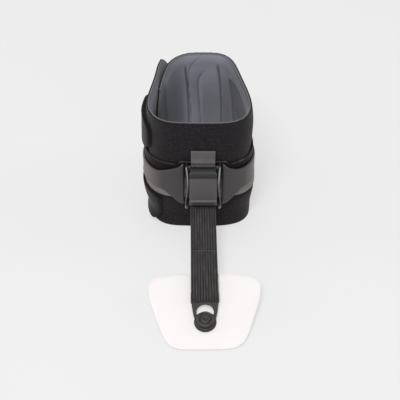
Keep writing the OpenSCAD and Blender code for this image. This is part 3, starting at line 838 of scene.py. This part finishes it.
def near_line(s, z, line):
    """Distance from places on the unrolled wall to a line, the side they lie on and the share along it."""
    shape = s.shape
    s, z = s.ravel(), z.ravel()
    best = np.full(s.shape, 1e9)
    side = np.zeros(s.shape)
    share = np.zeros(s.shape)
    count = len(line) - 1
    for i in range(count):
        a, b = line[i], line[i + 1]
        ab = b - a
        q = np.clip(((s - a[0]) * ab[0] + (z - a[1]) * ab[1]) / (ab @ ab), 0, 1)
        ds, dz = s - a[0] - q * ab[0], z - a[1] - q * ab[1]
        distance = np.hypot(ds, dz)
        nearer = distance < best
        best = np.where(nearer, distance, best)
        side = np.where(nearer, np.sign(ab[0] * dz - ab[1] * ds), side)
        share = np.where(nearer, (i + q) / count, share)
    return best.reshape(shape), side.reshape(shape), share.reshape(shape)


RIGHT_GROOVE = line_on_wall([(164.3, 103), (161.3, 89.4), (158.7, 69), (157.5, 50), (157, 6)])
LEFT_GROOVE = line_on_wall([(200.3, 102), (198, 87), (196.5, 68), (195.9, 50), (195.5, 6)])
S_LINE = line_on_wall([(178.5, 112), (184.8, 107.4), (189.6, 103.9), (192.8, 100), (195, 96), (195.6, 90.6),
                       (195.3, 84), (194.4, 75), (193.6, 65), (192.8, 56), (192.1, 41), (191.5, 5)])
INNER_CURVE = line_on_wall([(174, 97), (176.4, 96.2), (179.9, 93.9), (183, 89.4), (184.8, 84.2), (185.1, 78.6),
                            (184.7, 71.5), (183.9, 63), (183.2, 52), (182.6, 41), (182.2, 5)])
RIGHT_PANEL = line_on_wall([(146.5, 101), (145.2, 96.2), (144.6, 90.6), (140, 80.6), (133.6, 71.3), (127.9, 62.9),
                            (123, 50), (120, 30), (119, 5)])
RIGHT_BORDER = line_on_wall([(146.5, 93), (141, 95.5), (130.1, 97), (110.6, 98), (96.2, 97), (83.4, 94),
                             (70, 92), (58, 92)])
LEFT_PANEL = line_on_wall([(246, 113), (247.5, 107.3), (249, 95.8), (250.5, 84.1), (253, 60), (254.5, 5)])
FRONT_CHANNELS = [line_on_wall([(t, 98), (t * 0.97, 60), (t * 0.95, 8)]) for t in (-96, -64, -32, 0, 32, 58)]
GROOVE_DEPTH = 1.35
RIM_BEVEL = 2.85
BEVEL_HEIGHT = 9.0
RECESS_DEPTH = 1.15
FRAY = 0.3


def lining_depth(t, z):
    """What the mould takes off the lining's inner face: grooves, fine lines and a recess at each side."""
    s = length_at(t)
    depth = np.zeros_like(s)
    for line, wide, narrow in ((RIGHT_GROOVE, 1.5, 0.9), (LEFT_GROOVE, 1.3, 0.8)):
        distance, _, share = near_line(s, z, line)
        width = (wide + (narrow - wide) * smooth(share / 0.6)) * smooth((share + 0.03) / 0.08)
        depth += GROOVE_DEPTH * np.exp(-(distance / np.maximum(width, 0.05)) ** 2) * smooth((share + 0.02) / 0.06)
    distance, side, share = near_line(s, z, S_LINE)
    signed = distance * side
    depth += 1.0 * np.exp(-((signed - 0.5) / 0.5) ** 2) - 0.35 * np.exp(-((signed + 0.7) / 0.6) ** 2)
    distance, side, share = near_line(s, z, INNER_CURVE)
    signed = distance * side
    inside = 1.1 * np.exp(-(np.abs(signed) / 0.65) ** 2) + 0.35 * smooth((signed + 0.2) / 1.2) * np.exp(-(signed / 7) ** 2)
    depth += inside * smooth(share / 0.12)
    forward = smooth((s - length_at(62)) / 6)
    edge_line = np.interp(z, RIGHT_PANEL[::-1, 1], RIGHT_PANEL[::-1, 0])
    top_line = np.interp(s, RIGHT_BORDER[::-1, 0], RIGHT_BORDER[::-1, 1])
    recess = smooth((edge_line - s) / 1.8 + 0.5) * smooth((top_line - z) / 2.2 + 0.5) * forward
    depth += RECESS_DEPTH * recess
    edge_line = np.interp(z, LEFT_PANEL[::-1, 1], LEFT_PANEL[::-1, 0])
    depth += RECESS_DEPTH * smooth((s - edge_line) / 1.6 + 0.5) * smooth((t - 215) / 10)
    for line in FRONT_CHANNELS:
        distance, _, share = near_line(s, z, line)
        depth += 0.8 * np.exp(-(distance / 1.3) ** 2) * smooth(share / 0.08)
    return np.minimum(depth * smooth(from_rim(t, z) / 9), GROOVE_DEPTH)


def from_rim(t, z):
    return np.minimum(wrap_top(t) - z, z + 2)


def lining_relief(t, z):
    bevel = RIM_BEVEL * (1 - np.clip(from_rim(t, z) / BEVEL_HEIGHT, 0, 1)) ** 1.7
    return lining_depth(t, z) + bevel


def lining_inner(t):
    """The inner face, thinning out towards the inner end."""
    from_end = length_at(INNER_END) - length_at(t)
    return -WALL + 0.12 + 1.6 * (1 - smooth((from_end - 1) / 14))


def lining_groove_shade(t, z):
    """Painted shade on the lining: 0 is its plain colour, 1 is the dark bottom of a groove."""
    return np.clip(lining_depth(t, z) / GROOVE_DEPTH, 0, 1)


LINING_FACE = -COVER - 0.1 - BACKING - 0.1
piece("lining_moulded",
      [wrap_layer(lining_inner, constant(LINING_FACE), 1.1, 92, 0.7, drop=0.5, relief=lining_relief, groove_shade=lining_groove_shade)],
      LINING, "cuff", ["lining_pad"])
piece("backing_felt",
      [wrap_layer(constant(LINING_FACE + 0.1), constant(-COVER - 0.1), 1.1, 24, 0.25)],
      FELT, "cuff", ["backing_layer"])
piece("cover_fabric",
      [wrap_layer(constant(-COVER), constant(0.0), 1.1, 80, 0.45, drop=0.15)],
      LOOP, "cuff", ["loop_cover"])


# ------------------------------------------------------------------ closure tabs
TAB_THICKNESS = 3.4
HOOK_THICKNESS = 0.8
HOOK_LENGTH = 42.0
ROOT_WIDTH = 12.0
LAYER_GAP = 0.1
TABS = {
    "upper": {"tip": -44.0, "edges": (76.5, 106.0), "low": (10, 9), "high": (12, 12), "fall": 16.0, "bulge": 1.4},
    "lower": {"tip": -36.0, "edges": (2.0, 34.0), "low": (9, 20), "high": (4, 4), "fall": 0.0, "bulge": 0.5},
}


def tab_base(t):
    return LAYER_GAP - OVERLAP_STEP * (1 - smooth((t - ROOT_ANGLE - 1) / 11))


def tab_inner(t, tip, height):
    share = (t - ROOT_ANGLE) / (tip - HOOK_LENGTH - ROOT_ANGLE)
    bulge = np.where((share > 0) & (share < 1), height * np.sin(np.pi * share) ** 2, 0)
    return tab_base(t) + HOOK_THICKNESS * smooth((t - ROOT_ANGLE) / 12) + SKIN + bulge


def build_tab(name, tab):
    tip, (low_edge, high_edge) = tab["tip"], tab["edges"]

    def low(t):
        return low_edge + corner(tip - t, *tab["low"])

    def high(t):
        return high_edge - corner(tip - t, *tab["high"]) - tab["fall"] * smooth((-t - 75) / 50)

    body = name + "_tab"
    angles = angles_between(ROOT_ANGLE, tip, 1.2, end=1.5)
    flap = piece(name + "_closure_flap",
                 [sheet(angles, low, high, lambda t: tab_inner(t, tip, tab["bulge"]),
                        lambda t: tab_inner(t, tip, tab["bulge"]) + TAB_THICKNESS, 26, 1.1, end=1.6)],
                 TAB_LOOP_SHADED, None, [name + "_closure_tab"])
    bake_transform(flap)
    root_angles = angles_between(ROOT_ANGLE - ROOT_WIDTH, ROOT_ANGLE - 0.3, 1.2, end=0.8)
    piece(name + "_tab_root_flap",
          [sheet(root_angles, constant(low_edge), constant(high_edge - tab["fall"]),
                 lambda t: tab_base(t) + SKIN, lambda t: tab_base(t) + SKIN + TAB_THICKNESS, 20, 1.1, end=1.0)],
          TAB_LOOP_SHADED, "cuff", [name + "_tab_root"])
    last = 3.0 * np.floor((tip - 2) / 3.0)
    hook_angles = angles_between(last - HOOK_LENGTH + 3, last, 1.0, end=0.6)
    piece(name + "_hook_field",
          [sheet(hook_angles, lambda t: low(t) + 1.5, lambda t: high(t) - 1.5, tab_base,
                 lambda t: tab_base(t) + HOOK_THICKNESS, 24, 0.25, end=0.4)],
          HOOK, body, [name + "_hook_patch"])


for tab_name, tab_sizes in TABS.items():
    build_tab(tab_name, tab_sizes)


# ------------------------------------------------------------------ band and wings
BAND_LOW = 35.0
BAND_HIGH = 72.0
BAND_END = 112.0
BAND_INNER = 0.65
BAND_THICKNESS = 1.6
WING_START = 17.1
WING_END = 104.0
WING_THICKNESS = 2.3
WING_INNER = BAND_INNER + 2 * SKIN + BAND_THICKNESS


def band_top(t):
    a = np.abs(t)
    return BAND_HIGH + 3 * (1 - smooth((a - 19) / 5)) - corner(BAND_END - a, 10, 9)


def band_bottom(t):
    return BAND_LOW + corner(BAND_END - np.abs(t), 10, 9)


# The wings' upper edges: angle from the front, height. The left one turns at a crease.
WING_TOP = {"left": [(17, 75.2), (20.8, 70.4), (25, 68.0), (32.3, 64.9), (38.4, 61.6), (50, 60.9), (75, 60.4), (110, 60)],
            "right": [(17, 75.2), (20.8, 70.2), (26.3, 66.6), (32, 65.0), (39, 64.6), (48, 64.0), (75, 63), (110, 62)]}


def wing_top(t):
    a = np.abs(t)
    right = np.interp(a, *smooth_line(WING_TOP["right"]).T)
    left = np.interp(a, *np.array(WING_TOP["left"]).T)
    return np.where(t < 0, left, right) - corner(a - WING_START, 2.5, 2.5)


def wing_bottom(t):
    a = np.abs(t)
    return 29.3 + 14.5 * smooth((a - WING_START - 1) / 17) - 2.5 * smooth((a - 42) / 35)


def wing_outer(t):
    a = np.abs(t)
    return WING_INNER + 1 + (WING_THICKNESS - 1) * (1 - smooth((a - 30) / 60))


piece("band_shell",
      [sheet(angles_between(-BAND_END, BAND_END, 1.2, end=1.5), band_bottom, band_top,
             constant(BAND_INNER + SKIN), constant(BAND_INNER + SKIN + BAND_THICKNESS), 16, 0.55, end=1.2)],
      BAND_PLASTIC, "cuff", ["under_band"])
piece("band_hook_field",
      [sheet(angles_between(-108, 108, 1.5, end=0.6), constant(BAND_LOW + 6), constant(BAND_HIGH - 6),
             constant(LAYER_GAP), constant(BAND_INNER), 16, 0.2, end=0.4)],
      HOOK, "cuff", ["band_hook_strip"])
for side_name, sign in (("left", -1), ("right", 1)):
    wing_angles = sign * angles_between(WING_START, WING_END, 1.0, end=1.2)
    piece(side_name + "_wing_shell",
          [sheet(np.sort(wing_angles), wing_bottom, wing_top, constant(WING_INNER), wing_outer, 22, 0.7, end=1.0)],
          WING_PLASTIC, "cuff", [side_name + "_wing"])


# ------------------------------------------------------------------ buckle
PLATE_BACK = -(HALF_DEPTH + WING_INNER)
PLATE = 1.3
STRAP_BACK = PLATE_BACK - PLATE - SKIN
STRAP_FRONT = STRAP_BACK - STRAP
CHEEK_PITCH = 27.5
CHEEK = 1.3
CAM = 4.4
LEVER_ROUND = 4.2
PIN_RADIUS = 1.5
GUIDE_RADIUS = 1.2
BEND_INNER = GUIDE_RADIUS + 0.1


def arc(centre, radius, first, last, steps):
    a = np.radians(np.linspace(first, last, steps))
    return [centre + radius * np.array([np.cos(q), np.sin(q)]) for q in a]


CHEEK_TOP = PIN[2] + 6.5
BASE_TOP = PIN[2] + 2.6


def cheek_x(z):
    """The cheeks bow in at mid height, spread below it and hook in at the toe."""
    return CHEEK_PITCH / 2 - 1.6 * smooth((31 - z) / 4) - 1.1 * np.sin(np.pi * np.minimum(1.35, (CHEEK_TOP - np.minimum(z, CHEEK_TOP)) / 30))


def cheek_outline():
    front = PIN[1] - 2.4
    points = [np.array([PLATE_BACK, 33.0]), np.array([PLATE_BACK, CHEEK_TOP])]
    points += arc(np.array([PIN[1], CHEEK_TOP - 1.4]), 2.4, 90, 180, 8)
    points += [np.array([front + 0.4, 52.0]), np.array([GUIDE[1] - 3.2, 38.0])]
    points += arc(GUIDE[1:] - (0.8, 1.8), 2.6, 180, 300, 9)
    return densify(np.array(points), 1.2)


def cheek(sign):
    return across(cheek_outline(), CHEEK, 0.35, middle_x=lambda z: sign * cheek_x(z), slices=3)


plate_outline = densify(np.array([[PLATE_BACK, 36], [PLATE_BACK, BASE_TOP],
                                  [PLATE_BACK - PLATE, BASE_TOP - 0.4], [PLATE_BACK - PLATE, 36]]), 3.0)
guide_half = float(cheek_x(GUIDE[2]))
piece("buckle_frame_body",
      [cheek(-1), cheek(1), across(plate_outline, CHEEK_PITCH - CHEEK, 0.2)],
      FRAME_PLASTIC, "cuff", ["buckle_frame"])
# The guide bar takes the darkest plastic: painted shade beside the strap, where the key lamp would light it.
piece("guide_bar", [rod((-guide_half, GUIDE[1], GUIDE[2]), (guide_half, GUIDE[1], GUIDE[2]), GUIDE_RADIUS, 0.1)],
      FLANGE_PLASTIC, "cuff")
pin_half = (CHEEK_PITCH + CHEEK + 0.8) / 2
piece("lever_pin_rod", [rod((-pin_half, PIN[1], PIN[2]), (pin_half, PIN[1], PIN[2]), PIN_RADIUS)],
      STEEL, "cuff", ["lever_pin"])


def lever_outline():
    """Side view of the lever round its pin: cam, rounded top, bowed plate and finger lip."""
    drop = PIN[2] - LEVER_LOW
    cam = [(CAM - 0.4 * smooth(abs(a) / 40)) * np.array([np.cos(np.radians(a)), np.sin(np.radians(a))])
           for a in range(-40, 41, 5)]
    top = arc(np.zeros(2), LEVER_ROUND, 45, 180, 19)
    share = np.linspace(0.10, 0.80, 16)
    bow = 0.3 + 0.4 * np.sin(np.pi * share * 7 / 8)
    plate = list(np.stack([-LEVER_ROUND - bow, -drop * share], -1))
    lip = [np.array([-LEVER_ROUND - 0.7, -drop + 6.4]), np.array([-LEVER_ROUND - 1.2, -drop + 5.7]),
           np.array([-LEVER_ROUND - 1.3, -drop + 5.2]), np.array([-LEVER_ROUND - 1.0, -drop + 4.4]),
           np.array([-LEVER_ROUND - 0.5, -drop + 1.6]), np.array([-LEVER_ROUND - 0.1, -drop + 0.4]),
           np.array([-LEVER_ROUND + 0.6, -drop]), np.array([-LEVER_ROUND + 1.2, -drop])]
    back = list(np.stack([-LEVER_ROUND + 2 - bow, -drop * share], -1))[::-1]
    return np.array(cam + top + plate + lip + back[:-1] + [np.array([-0.5, -4.2]), np.array([2, -3.8])])


def lever_shape():
    """The lever across its width: narrower at the top, with round upper corners and soft edges."""
    outline = densify(lever_outline(), 0.8)
    half = LEVER_WIDTH / 2
    edge, corner_radius = 0.55, 3.0
    bend = np.radians(np.linspace(0, 90, 5))
    into = edge * (1 - np.cos(bend))
    near = np.concatenate([into, edge + (corner_radius - edge) * np.linspace(0, 1, 6)[1:]])
    inset = np.concatenate([edge * (1 - np.sin(bend)), np.zeros(5)])
    places = np.concatenate([-half + near, np.linspace(-half + corner_radius, half - corner_radius, 10)[1:-1],
                             half - near[::-1]])
    insets = np.concatenate([inset, np.zeros(8), inset[::-1]])
    rings = []
    for x, inward in zip(places, insets):
        ring = inset_outline(outline, inward)
        from_side = half - abs(x)
        drop = corner_radius - np.sqrt(max(0.0, corner_radius ** 2 - max(0.0, corner_radius - from_side) ** 2))
        ring[:, 1] = np.minimum(ring[:, 1], CAM - drop)
        taper = 1.0 + 0.012 * smooth((-ring[:, 1] - 27) / 8) - 0.022 * (1 - smooth((-ring[:, 1] + 3) / 30))
        rings.append(np.stack([x * taper, PIN[1] + ring[:, 0], PIN[2] + ring[:, 1]], -1))
    return skin(np.array(rings), cap="face")


piece("lever_body", [lever_shape()], LEVER_PLASTIC, "lever", ["lever"])


# ------------------------------------------------------------------ webbing
RIBS = 9
RIB_DEPTH = 0.5
GROOVE = 0.38
SELVEDGE = 1.3
# The elastic is drawn a little narrower near the buckle.
DRAWN = 0.02
# Where the elastic folds round the keyhole tab it is pressed a little wider.
FOLD_SPREAD = 0.022


def rib_drop(x, width):
    """How far the webbing's face lies below its ribs: narrow grooves between round ribs."""
    inner = width - 2 * SELVEDGE
    pitch = inner / RIBS
    place = (x + inner / 2) / pitch
    distance = np.abs(place - np.round(place)) * pitch
    inside = (place > -0.3) & (place < RIBS + 0.3)
    crown = 0.10 * (2 * distance / pitch - 1) ** 2
    return np.where(inside, RIB_DEPTH * np.exp(-(distance / GROOVE) ** 2) + crown, 0.0)


def rib_groove_shade(x, width, count):
    """Painted shade in the grooves for every ring of a run, smooth on the selvedges."""
    return np.tile(np.clip(rib_drop(x, width) / RIB_DEPTH, 0, 1), count)


def webbing(path, normal, width, thickness=STRAP, ribbed=(True, True), edge=0.5):
    """Flat webbing along a path in the plane of Y and Z; normal points off its upper face."""
    columns = 132
    v, side, sv, sw = rounded_section(columns)
    x = -width / 2 + edge + v * (width - 2 * edge) + edge * sv
    h = side * (thickness / 2 - edge) + edge * sw
    drop = rib_drop(x, width)
    h = h - np.where((side > 0) & ribbed[0], drop, 0) + np.where((side < 0) & ribbed[1], drop, 0)
    path, normal = np.asarray(path, float), np.asarray(normal, float)
    y = path[:, 0][:, None] + normal[:, 0][:, None] * h
    z = path[:, 1][:, None] + normal[:, 1][:, None] * h
    rings = np.stack([np.broadcast_to(x * (1 - DRAWN), y.shape), y, z], -1)
    return *skin(rings), rib_groove_shade(x, width, len(path))


def straight(first, last, count):
    share = np.linspace(0, 1, count)[:, None]
    return np.asarray(first, float) + share * (np.asarray(last, float) - first)


# Behind the cam: straight up; the bend runs round the guide bar to the exit.
RISER_TOP = box_mm("inner_strap")[1][2]
riser_y = (STRAP_FRONT + STRAP_BACK) / 2
riser = straight((riser_y, GUIDE[2]), (riser_y, RISER_TOP), 28)
riser_piece = piece("webbing_riser", [webbing(riser, np.tile([-1.0, 0.0], (28, 1)), STRAP_WIDTH)],
                    WEBBING_FLAT, None, ["inner_strap"])
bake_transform(riser_piece)

bend_radius = BEND_INNER + STRAP / 2
bend_angles = np.linspace(0, np.pi / 2 - STRAP_SLOPE, 14)
bend = GUIDE[1:] + bend_radius * np.stack([np.cos(bend_angles), -np.sin(bend_angles)], -1)
forward = np.array([-np.cos(STRAP_SLOPE), -np.sin(STRAP_SLOPE)])
bend_normal = np.concatenate([-np.stack([np.cos(bend_angles), -np.sin(bend_angles)], -1),
                              np.tile([-np.sin(STRAP_SLOPE), np.cos(STRAP_SLOPE)], (4, 1))])
strap_middle_start = EXIT[1:] + (STRAP / 2) * np.array([-np.sin(STRAP_SLOPE), np.cos(STRAP_SLOPE)])
exit_run = straight(bend[-1], strap_middle_start, 5)[1:]
bend_piece = piece("webbing_bend", [webbing(np.concatenate([bend, exit_run]), bend_normal, STRAP_WIDTH)],
                   WEBBING_FLAT, None)
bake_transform(bend_piece)


def strap_run(first, last, low, high, ribbed, step_down=None):
    """Webbing along the strap between two distances, with an optional lowered end."""
    count = max(4, int((last - first) / 1.6))
    s = np.linspace(first, last, count)
    middle = np.full(count, (low + high) / 2)
    if step_down is not None:
        place, amount = step_down
        middle = middle - amount * smooth((s - place) / 3)
    columns = 132
    v, side, sv, sw = rounded_section(columns)
    edge = 0.5
    x = -STRAP_WIDTH / 2 + edge + v * (STRAP_WIDTH - 2 * edge) + edge * sv
    h = side * ((high - low) / 2 - edge) + edge * sw
    drop = rib_drop(x, STRAP_WIDTH)
    h = h - np.where((side > 0) & ribbed[0], drop, 0) + np.where((side < 0) & ribbed[1], drop, 0)
    drawn = 1 - DRAWN * (1 - smooth(s / 85)) + FOLD_SPREAD * smooth((s - STRAP_END + 8) / 1.2)
    rings = np.stack([drawn[:, None] * x, np.broadcast_to(s[:, None], (count, len(x))), middle[:, None] + h], -1)
    return *strap_place(skin(rings)), rib_groove_shade(x, STRAP_WIDTH, count)


TOP = (True, False)
BOTTOM = (False, True)
upper_run = piece("elastic_upper_run", [strap_run(0.1, SEAM_AT - SKIN, 0, STRAP, (True, True))],
                  WEBBING, None, ["elastic_strap"])
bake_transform(upper_run)
loop_run = piece("elastic_lower_run", [strap_run(SEAM_AT, STRAP_END, 0, STRAP, TOP)],
                 WEBBING, None, ["strap_loop"])
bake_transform(loop_run)
under_run = piece("elastic_under_layer",
                  [strap_run(SEAM_AT, STRAP_END, -SKIN - STRAP, -SKIN, BOTTOM,
                             (STRAP_END - TONGUE - 3, TAB_PLATE + SKIN))],
                  WEBBING, None, ["strap_doubler"])
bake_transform(under_run)

stitch_columns = (np.arange(10) - 4.5) * 2.1


def strap_stitches(s):
    return stitches(stitch_columns, 1.6, 0.45, 0.2,
                    lambda p: on_strap(np.stack([p[:, 0], s + p[:, 1], STRAP + p[:, 2]], -1)))


piece("seam_threads_middle", strap_stitches(SEAM_AT + 0.8), THREAD, "strap_middle", ["doubler_seam"])
piece("seam_threads_end", strap_stitches(STRAP_END - 2.4) + strap_stitches(STRAP_END - 4.8),
      THREAD, "strap_tip", ["end_seam"])


# ------------------------------------------------------------------ pull tab with its blank label
LABEL_BACK = -HALF_DEPTH - 0.6
LABEL_THICKNESS = 1.9
label_middle = LABEL_BACK - LABEL_THICKNESS / 2


def pull_path(first, last, count):
    """Middle line of the pull tab in Y and Z, from the webbing to the cuff, with its normal."""
    z = np.linspace(first, last, count)
    y = riser_y + (label_middle - riser_y) * smooth((z - RISER_TOP - 0.6) / 7)
    slope = np.gradient(y, z)
    normal = np.stack([-np.ones_like(slope), slope], -1)
    return np.stack([y, z], -1), normal / np.linalg.norm(normal, axis=1, keepdims=True)


label_path, label_normal = pull_path(RISER_TOP + SKIN, PULL_TOP, 24)
v_, side_, sv_, sw_ = rounded_section(20)


def label_shape():
    edge = 0.6
    x = -PULL_WIDTH / 2 + edge + v_ * (PULL_WIDTH - 2 * edge) + edge * sv_
    thin = end_scale(label_path[:, 1], 0.9, 0.3)[:, None]
    h = (side_ * (LABEL_THICKNESS / 2 - edge) + edge * sw_) * thin
    y = label_path[:, 0][:, None] + label_normal[:, 0][:, None] * h
    z = label_path[:, 1][:, None] + label_normal[:, 1][:, None] * h
    return skin(np.stack([np.broadcast_to(x, y.shape), y, z], -1))


piece("pull_tab_label", [label_shape()], LABEL, "pull_end", ["pull_tab"])


def label_stitches(z):
    path, normal = pull_path(z - 0.1, z + 0.1, 3)
    centre, off = path[1], normal[1]
    rise = LABEL_THICKNESS / 2 - 0.05
    return stitches((np.arange(9) - 4) * 2.1, 1.6, 0.8, 0.35,
                    lambda p: np.stack([p[:, 0], centre[0] + off[0] * (rise + p[:, 2]),
                                        centre[1] + off[1] * (rise + p[:, 2])], -1))


piece("pull_tab_threads", label_stitches(STITCH_ROWS[0]) + label_stitches(STITCH_ROWS[1]), THREAD, "pull_end",
      ["pull_tab_seam"])


# ------------------------------------------------------------------ keyhole tab and button
PLATE_TOP = -SKIN
PLATE_BOTTOM = PLATE_TOP - TAB_PLATE
HOLE_RADIUS = 6.95
KEYHOLE_TRAVEL = 8.0
NECK_RADIUS = 3.7
TIP_RADIUS = 8.2
TAB_HALF_WIDTH = 10.6
CAP_RADIUS = 6.8
FLANGE_TOP = PLATE_BOTTOM - SKIN
FLANGE_BOTTOM = FLANGE_TOP - 1.55
INLAY_TOP = FLANGE_BOTTOM - SKIN
INLAY_BOTTOM = INLAY_TOP - 1.2
SHANK = 2.0


def keyhole_tab():
    """The tab's outer outline and its keyhole, joined by a rounded rim round the hole."""
    centre = np.array([0.0, BUTTON_AT - KEYHOLE_TRAVEL])
    start = STRAP_END - TONGUE
    tip = arc(np.array([0.0, BUTTON_AT]), TIP_RADIUS, -8, 188, 40)
    side = smooth_line([(TAB_HALF_WIDTH, STRAP_END), (TAB_HALF_WIDTH - 0.1, STRAP_END + 2.5),
                        (TAB_HALF_WIDTH - 0.5, STRAP_END + 6), (TAB_HALF_WIDTH - 1.3, STRAP_END + 11),
                        (8.5, BUTTON_AT - 2.4)], step=0.5)
    outline = np.concatenate([[(-TAB_HALF_WIDTH, start), (TAB_HALF_WIDTH, start)], side, tip,
                              (side * (-1, 1))[::-1]])
    outline = densify(outline, 0.5)
    slot = NECK_RADIUS + SKIN
    mouth = np.degrees(np.arcsin(slot / HOLE_RADIUS))
    hole = arc(centre, HOLE_RADIUS, 90 + mouth, 450 - mouth, 60)
    end = arc(np.array([0.0, BUTTON_AT]), slot, 0, 180, 24)
    hole = densify(np.array(hole + end), 0.4)
    angles = np.linspace(-np.pi, np.pi, 180, endpoint=False)
    return ring_plate(centre, radii(hole, centre, angles), radii(outline, centre, angles),
                      PLATE_BOTTOM, PLATE_TOP, 0.4, 5, angles)


piece("keyhole_tab_plate", [strap_place(keyhole_tab())], TAB_PLASTIC, "strap_tip", ["eyelet_tab"])


def on_button(shape):
    points, faces = shape
    moved = points + np.array([0, BUTTON_AT, 0])
    return on_strap(moved), faces


cap_floor = PLATE_TOP + SKIN
# Radius and height of the cap: a rounded rim, a groove, a raised disc and a dimple.
CAP_PROFILE = [(6.3, 0), (6.65, 0.15), (CAP_RADIUS, 0.5), (CAP_RADIUS, 1.9), (6.7, 2.4), (6.4, 2.75), (5.9, 3.0),
               (5.5, 3.05), (5.15, 2.9), (4.95, 2.45), (4.7, 2.15), (4.3, 2.1), (3.95, 2.25), (3.75, 2.75), (3.45, 3.1),
               (3.0, 3.25), (2.2, 3.3), (1.7, 3.25), (1.4, 3.0), (1.15, 2.6), (0.8, 2.4), (0, 2.35)]
cap_profile = [(SHANK + SKIN, cap_floor + 1.5), (SHANK + SKIN, cap_floor)]
cap_profile += [(radius, cap_floor + height) for radius, height in CAP_PROFILE]
cap_inside = [(0, cap_floor + 1.5), (SHANK + SKIN, cap_floor + 1.5)]
piece("button_cap_top", [on_button(turned(cap_inside + cap_profile[1:]))], TAB_PLASTIC, "button",
      ["button_cap"])
base_profile = [(0, INLAY_BOTTOM - 0.9), (SHANK - 0.3, INLAY_BOTTOM - 0.9), (SHANK, INLAY_BOTTOM - 0.6),
                (SHANK, FLANGE_BOTTOM), (8.4, FLANGE_BOTTOM), (8.7, FLANGE_BOTTOM + 0.12), (8.8, FLANGE_BOTTOM + 0.4),
                (8.8, FLANGE_TOP - 0.4), (8.7, FLANGE_TOP - 0.12), (8.4, FLANGE_TOP), (NECK_RADIUS, FLANGE_TOP),
                (NECK_RADIUS, cap_floor - SKIN / 2), (SHANK, cap_floor - SKIN / 2), (SHANK, cap_floor + 1.4),
                (0, cap_floor + 1.45)]
piece("button_flange_base", [on_button(turned(base_profile))], FLANGE_PLASTIC, "button", ["button_base"])
washer_top, washer_low = INLAY_BOTTOM - SKIN, INLAY_BOTTOM - SKIN - 0.8
washer_profile = [(SHANK + SKIN, washer_low), (5.3, washer_low), (5.5, washer_low + 0.2), (5.5, washer_top - 0.2),
                  (5.3, washer_top), (SHANK + SKIN, washer_top), (SHANK + SKIN, washer_low)]
piece("button_washer_ring", [on_button(turned(washer_profile))], STEEL, "button", ["button_washer"])


# ------------------------------------------------------------------ shoe inlay
# Half of the inlay's outline: distance from the strap's middle line and distance from the buckle.
INLAY_HALF = [(0, 63.6), (12, 63.8), (24, 64.5), (35, 66.1), (41.0, 68.2), (44.2, 71.5), (45.3, 76.5), (44.6, 84),
              (42.0, 94), (38.6, 104.5), (35.0, 115), (31.2, 123.5), (27, 128.3), (21, 130.9), (12, 131.6), (0, 131.7)]


def inlay_outline():
    half = smooth_line(INLAY_HALF, step=0.8)
    return np.concatenate([half, (half * (-1, 1))[-2:0:-1]])


inlay_centre = np.array([0.0, BUTTON_AT])
inlay_angles = np.linspace(-np.pi, np.pi, 260, endpoint=False)
inlay_shape = ring_plate(inlay_centre, np.full(260, SHANK + SKIN), radii(inlay_outline(), inlay_centre, inlay_angles),
                         INLAY_BOTTOM, INLAY_TOP, 0.35, 14, inlay_angles)
piece("inlay_sheet", [strap_place(inlay_shape)], INLAY, "shoe_inlay", ["inlay"])


# ------------------------------------------------------------------ stage, light and camera
FLOOR_HALF = 6.0
FLOOR_GLOW = 0.52


def floor_look():
    """A floor that is lit from within as well, so that it stays even and its shadows stay faint."""
    look = Look("pale_floor", roughness=0.9, specular=0.1)
    cloud = look.noise(0.01, detail=2.0)
    look.colour(look.mix(grey(0.27), grey(0.28), cloud))
    look.link(look.mix(grey(0.99), grey(1.0), cloud), look.shader.inputs["Emission Color"])
    look.shader.inputs["Emission Strength"].default_value = FLOOR_GLOW
    return look.material


floor_mesh = bpy.data.meshes.new("floor")
floor_drop = cad_bounds[0][2] - 0.0005
build = bmesh.new()
bmesh.ops.create_grid(build, x_segments=8, y_segments=8, size=FLOOR_HALF)
bmesh.ops.translate(build, verts=build.verts, vec=(0, 0, floor_drop))
build.to_mesh(floor_mesh)
build.free()
floor = bpy.data.objects.new("floor", floor_mesh)
bpy.context.scene.collection.objects.link(floor)
floor_mesh.materials.append(floor_look())

world = bpy.data.worlds.new("studio")
bpy.context.scene.world = world
world.use_nodes = True
background = world.node_tree.nodes["Background"]
background.inputs["Color"].default_value = (1.0, 1.0, 1.0, 1)
background.inputs["Strength"].default_value = 0.5


def area_light(name, place, aim, size, power):
    data = bpy.data.lights.new(name, "AREA")
    data.shape = "DISK"
    data.size = size
    data.energy = power
    light = bpy.data.objects.new(name, data)
    bpy.context.scene.collection.objects.link(light)
    light.location = place
    light.rotation_euler = (Vector(aim) - Vector(place)).to_track_quat("-Z", "Y").to_euler()


area_light("key", (-0.4, -1.35, 2.15), (0, 0, 0.05), 1.1, 44)
area_light("overhead", (-0.2, 0.6, 2.4), (0, 0, 0), 1.4, 8)
area_light("left_side", (-2.0, 0.3, 0.9), (0, 0, 0.05), 0.9, 5)
area_light("right_side", (2.0, 0.3, 0.9), (0, 0, 0.05), 0.9, 7)

CAMERA_ELEVATION = np.radians(43)
CAMERA_DISTANCE = 0.750
CAMERA_TARGET = Vector((-0.0026, -0.052, 0.0306))
camera_data = bpy.data.cameras.new("camera")
camera_data.sensor_width = 36
camera_data.lens = 78.5
camera_data.clip_start = 0.05
camera = bpy.data.objects.new("camera", camera_data)
bpy.context.scene.collection.objects.link(camera)
away = Vector((0, -float(np.cos(CAMERA_ELEVATION)), float(np.sin(CAMERA_ELEVATION))))
camera.location = CAMERA_TARGET + CAMERA_DISTANCE * away
camera.rotation_euler = (-away).to_track_quat("-Z", "Y").to_euler()
bpy.context.scene.camera = camera
bpy.context.scene.view_settings.view_transform = "Standard"
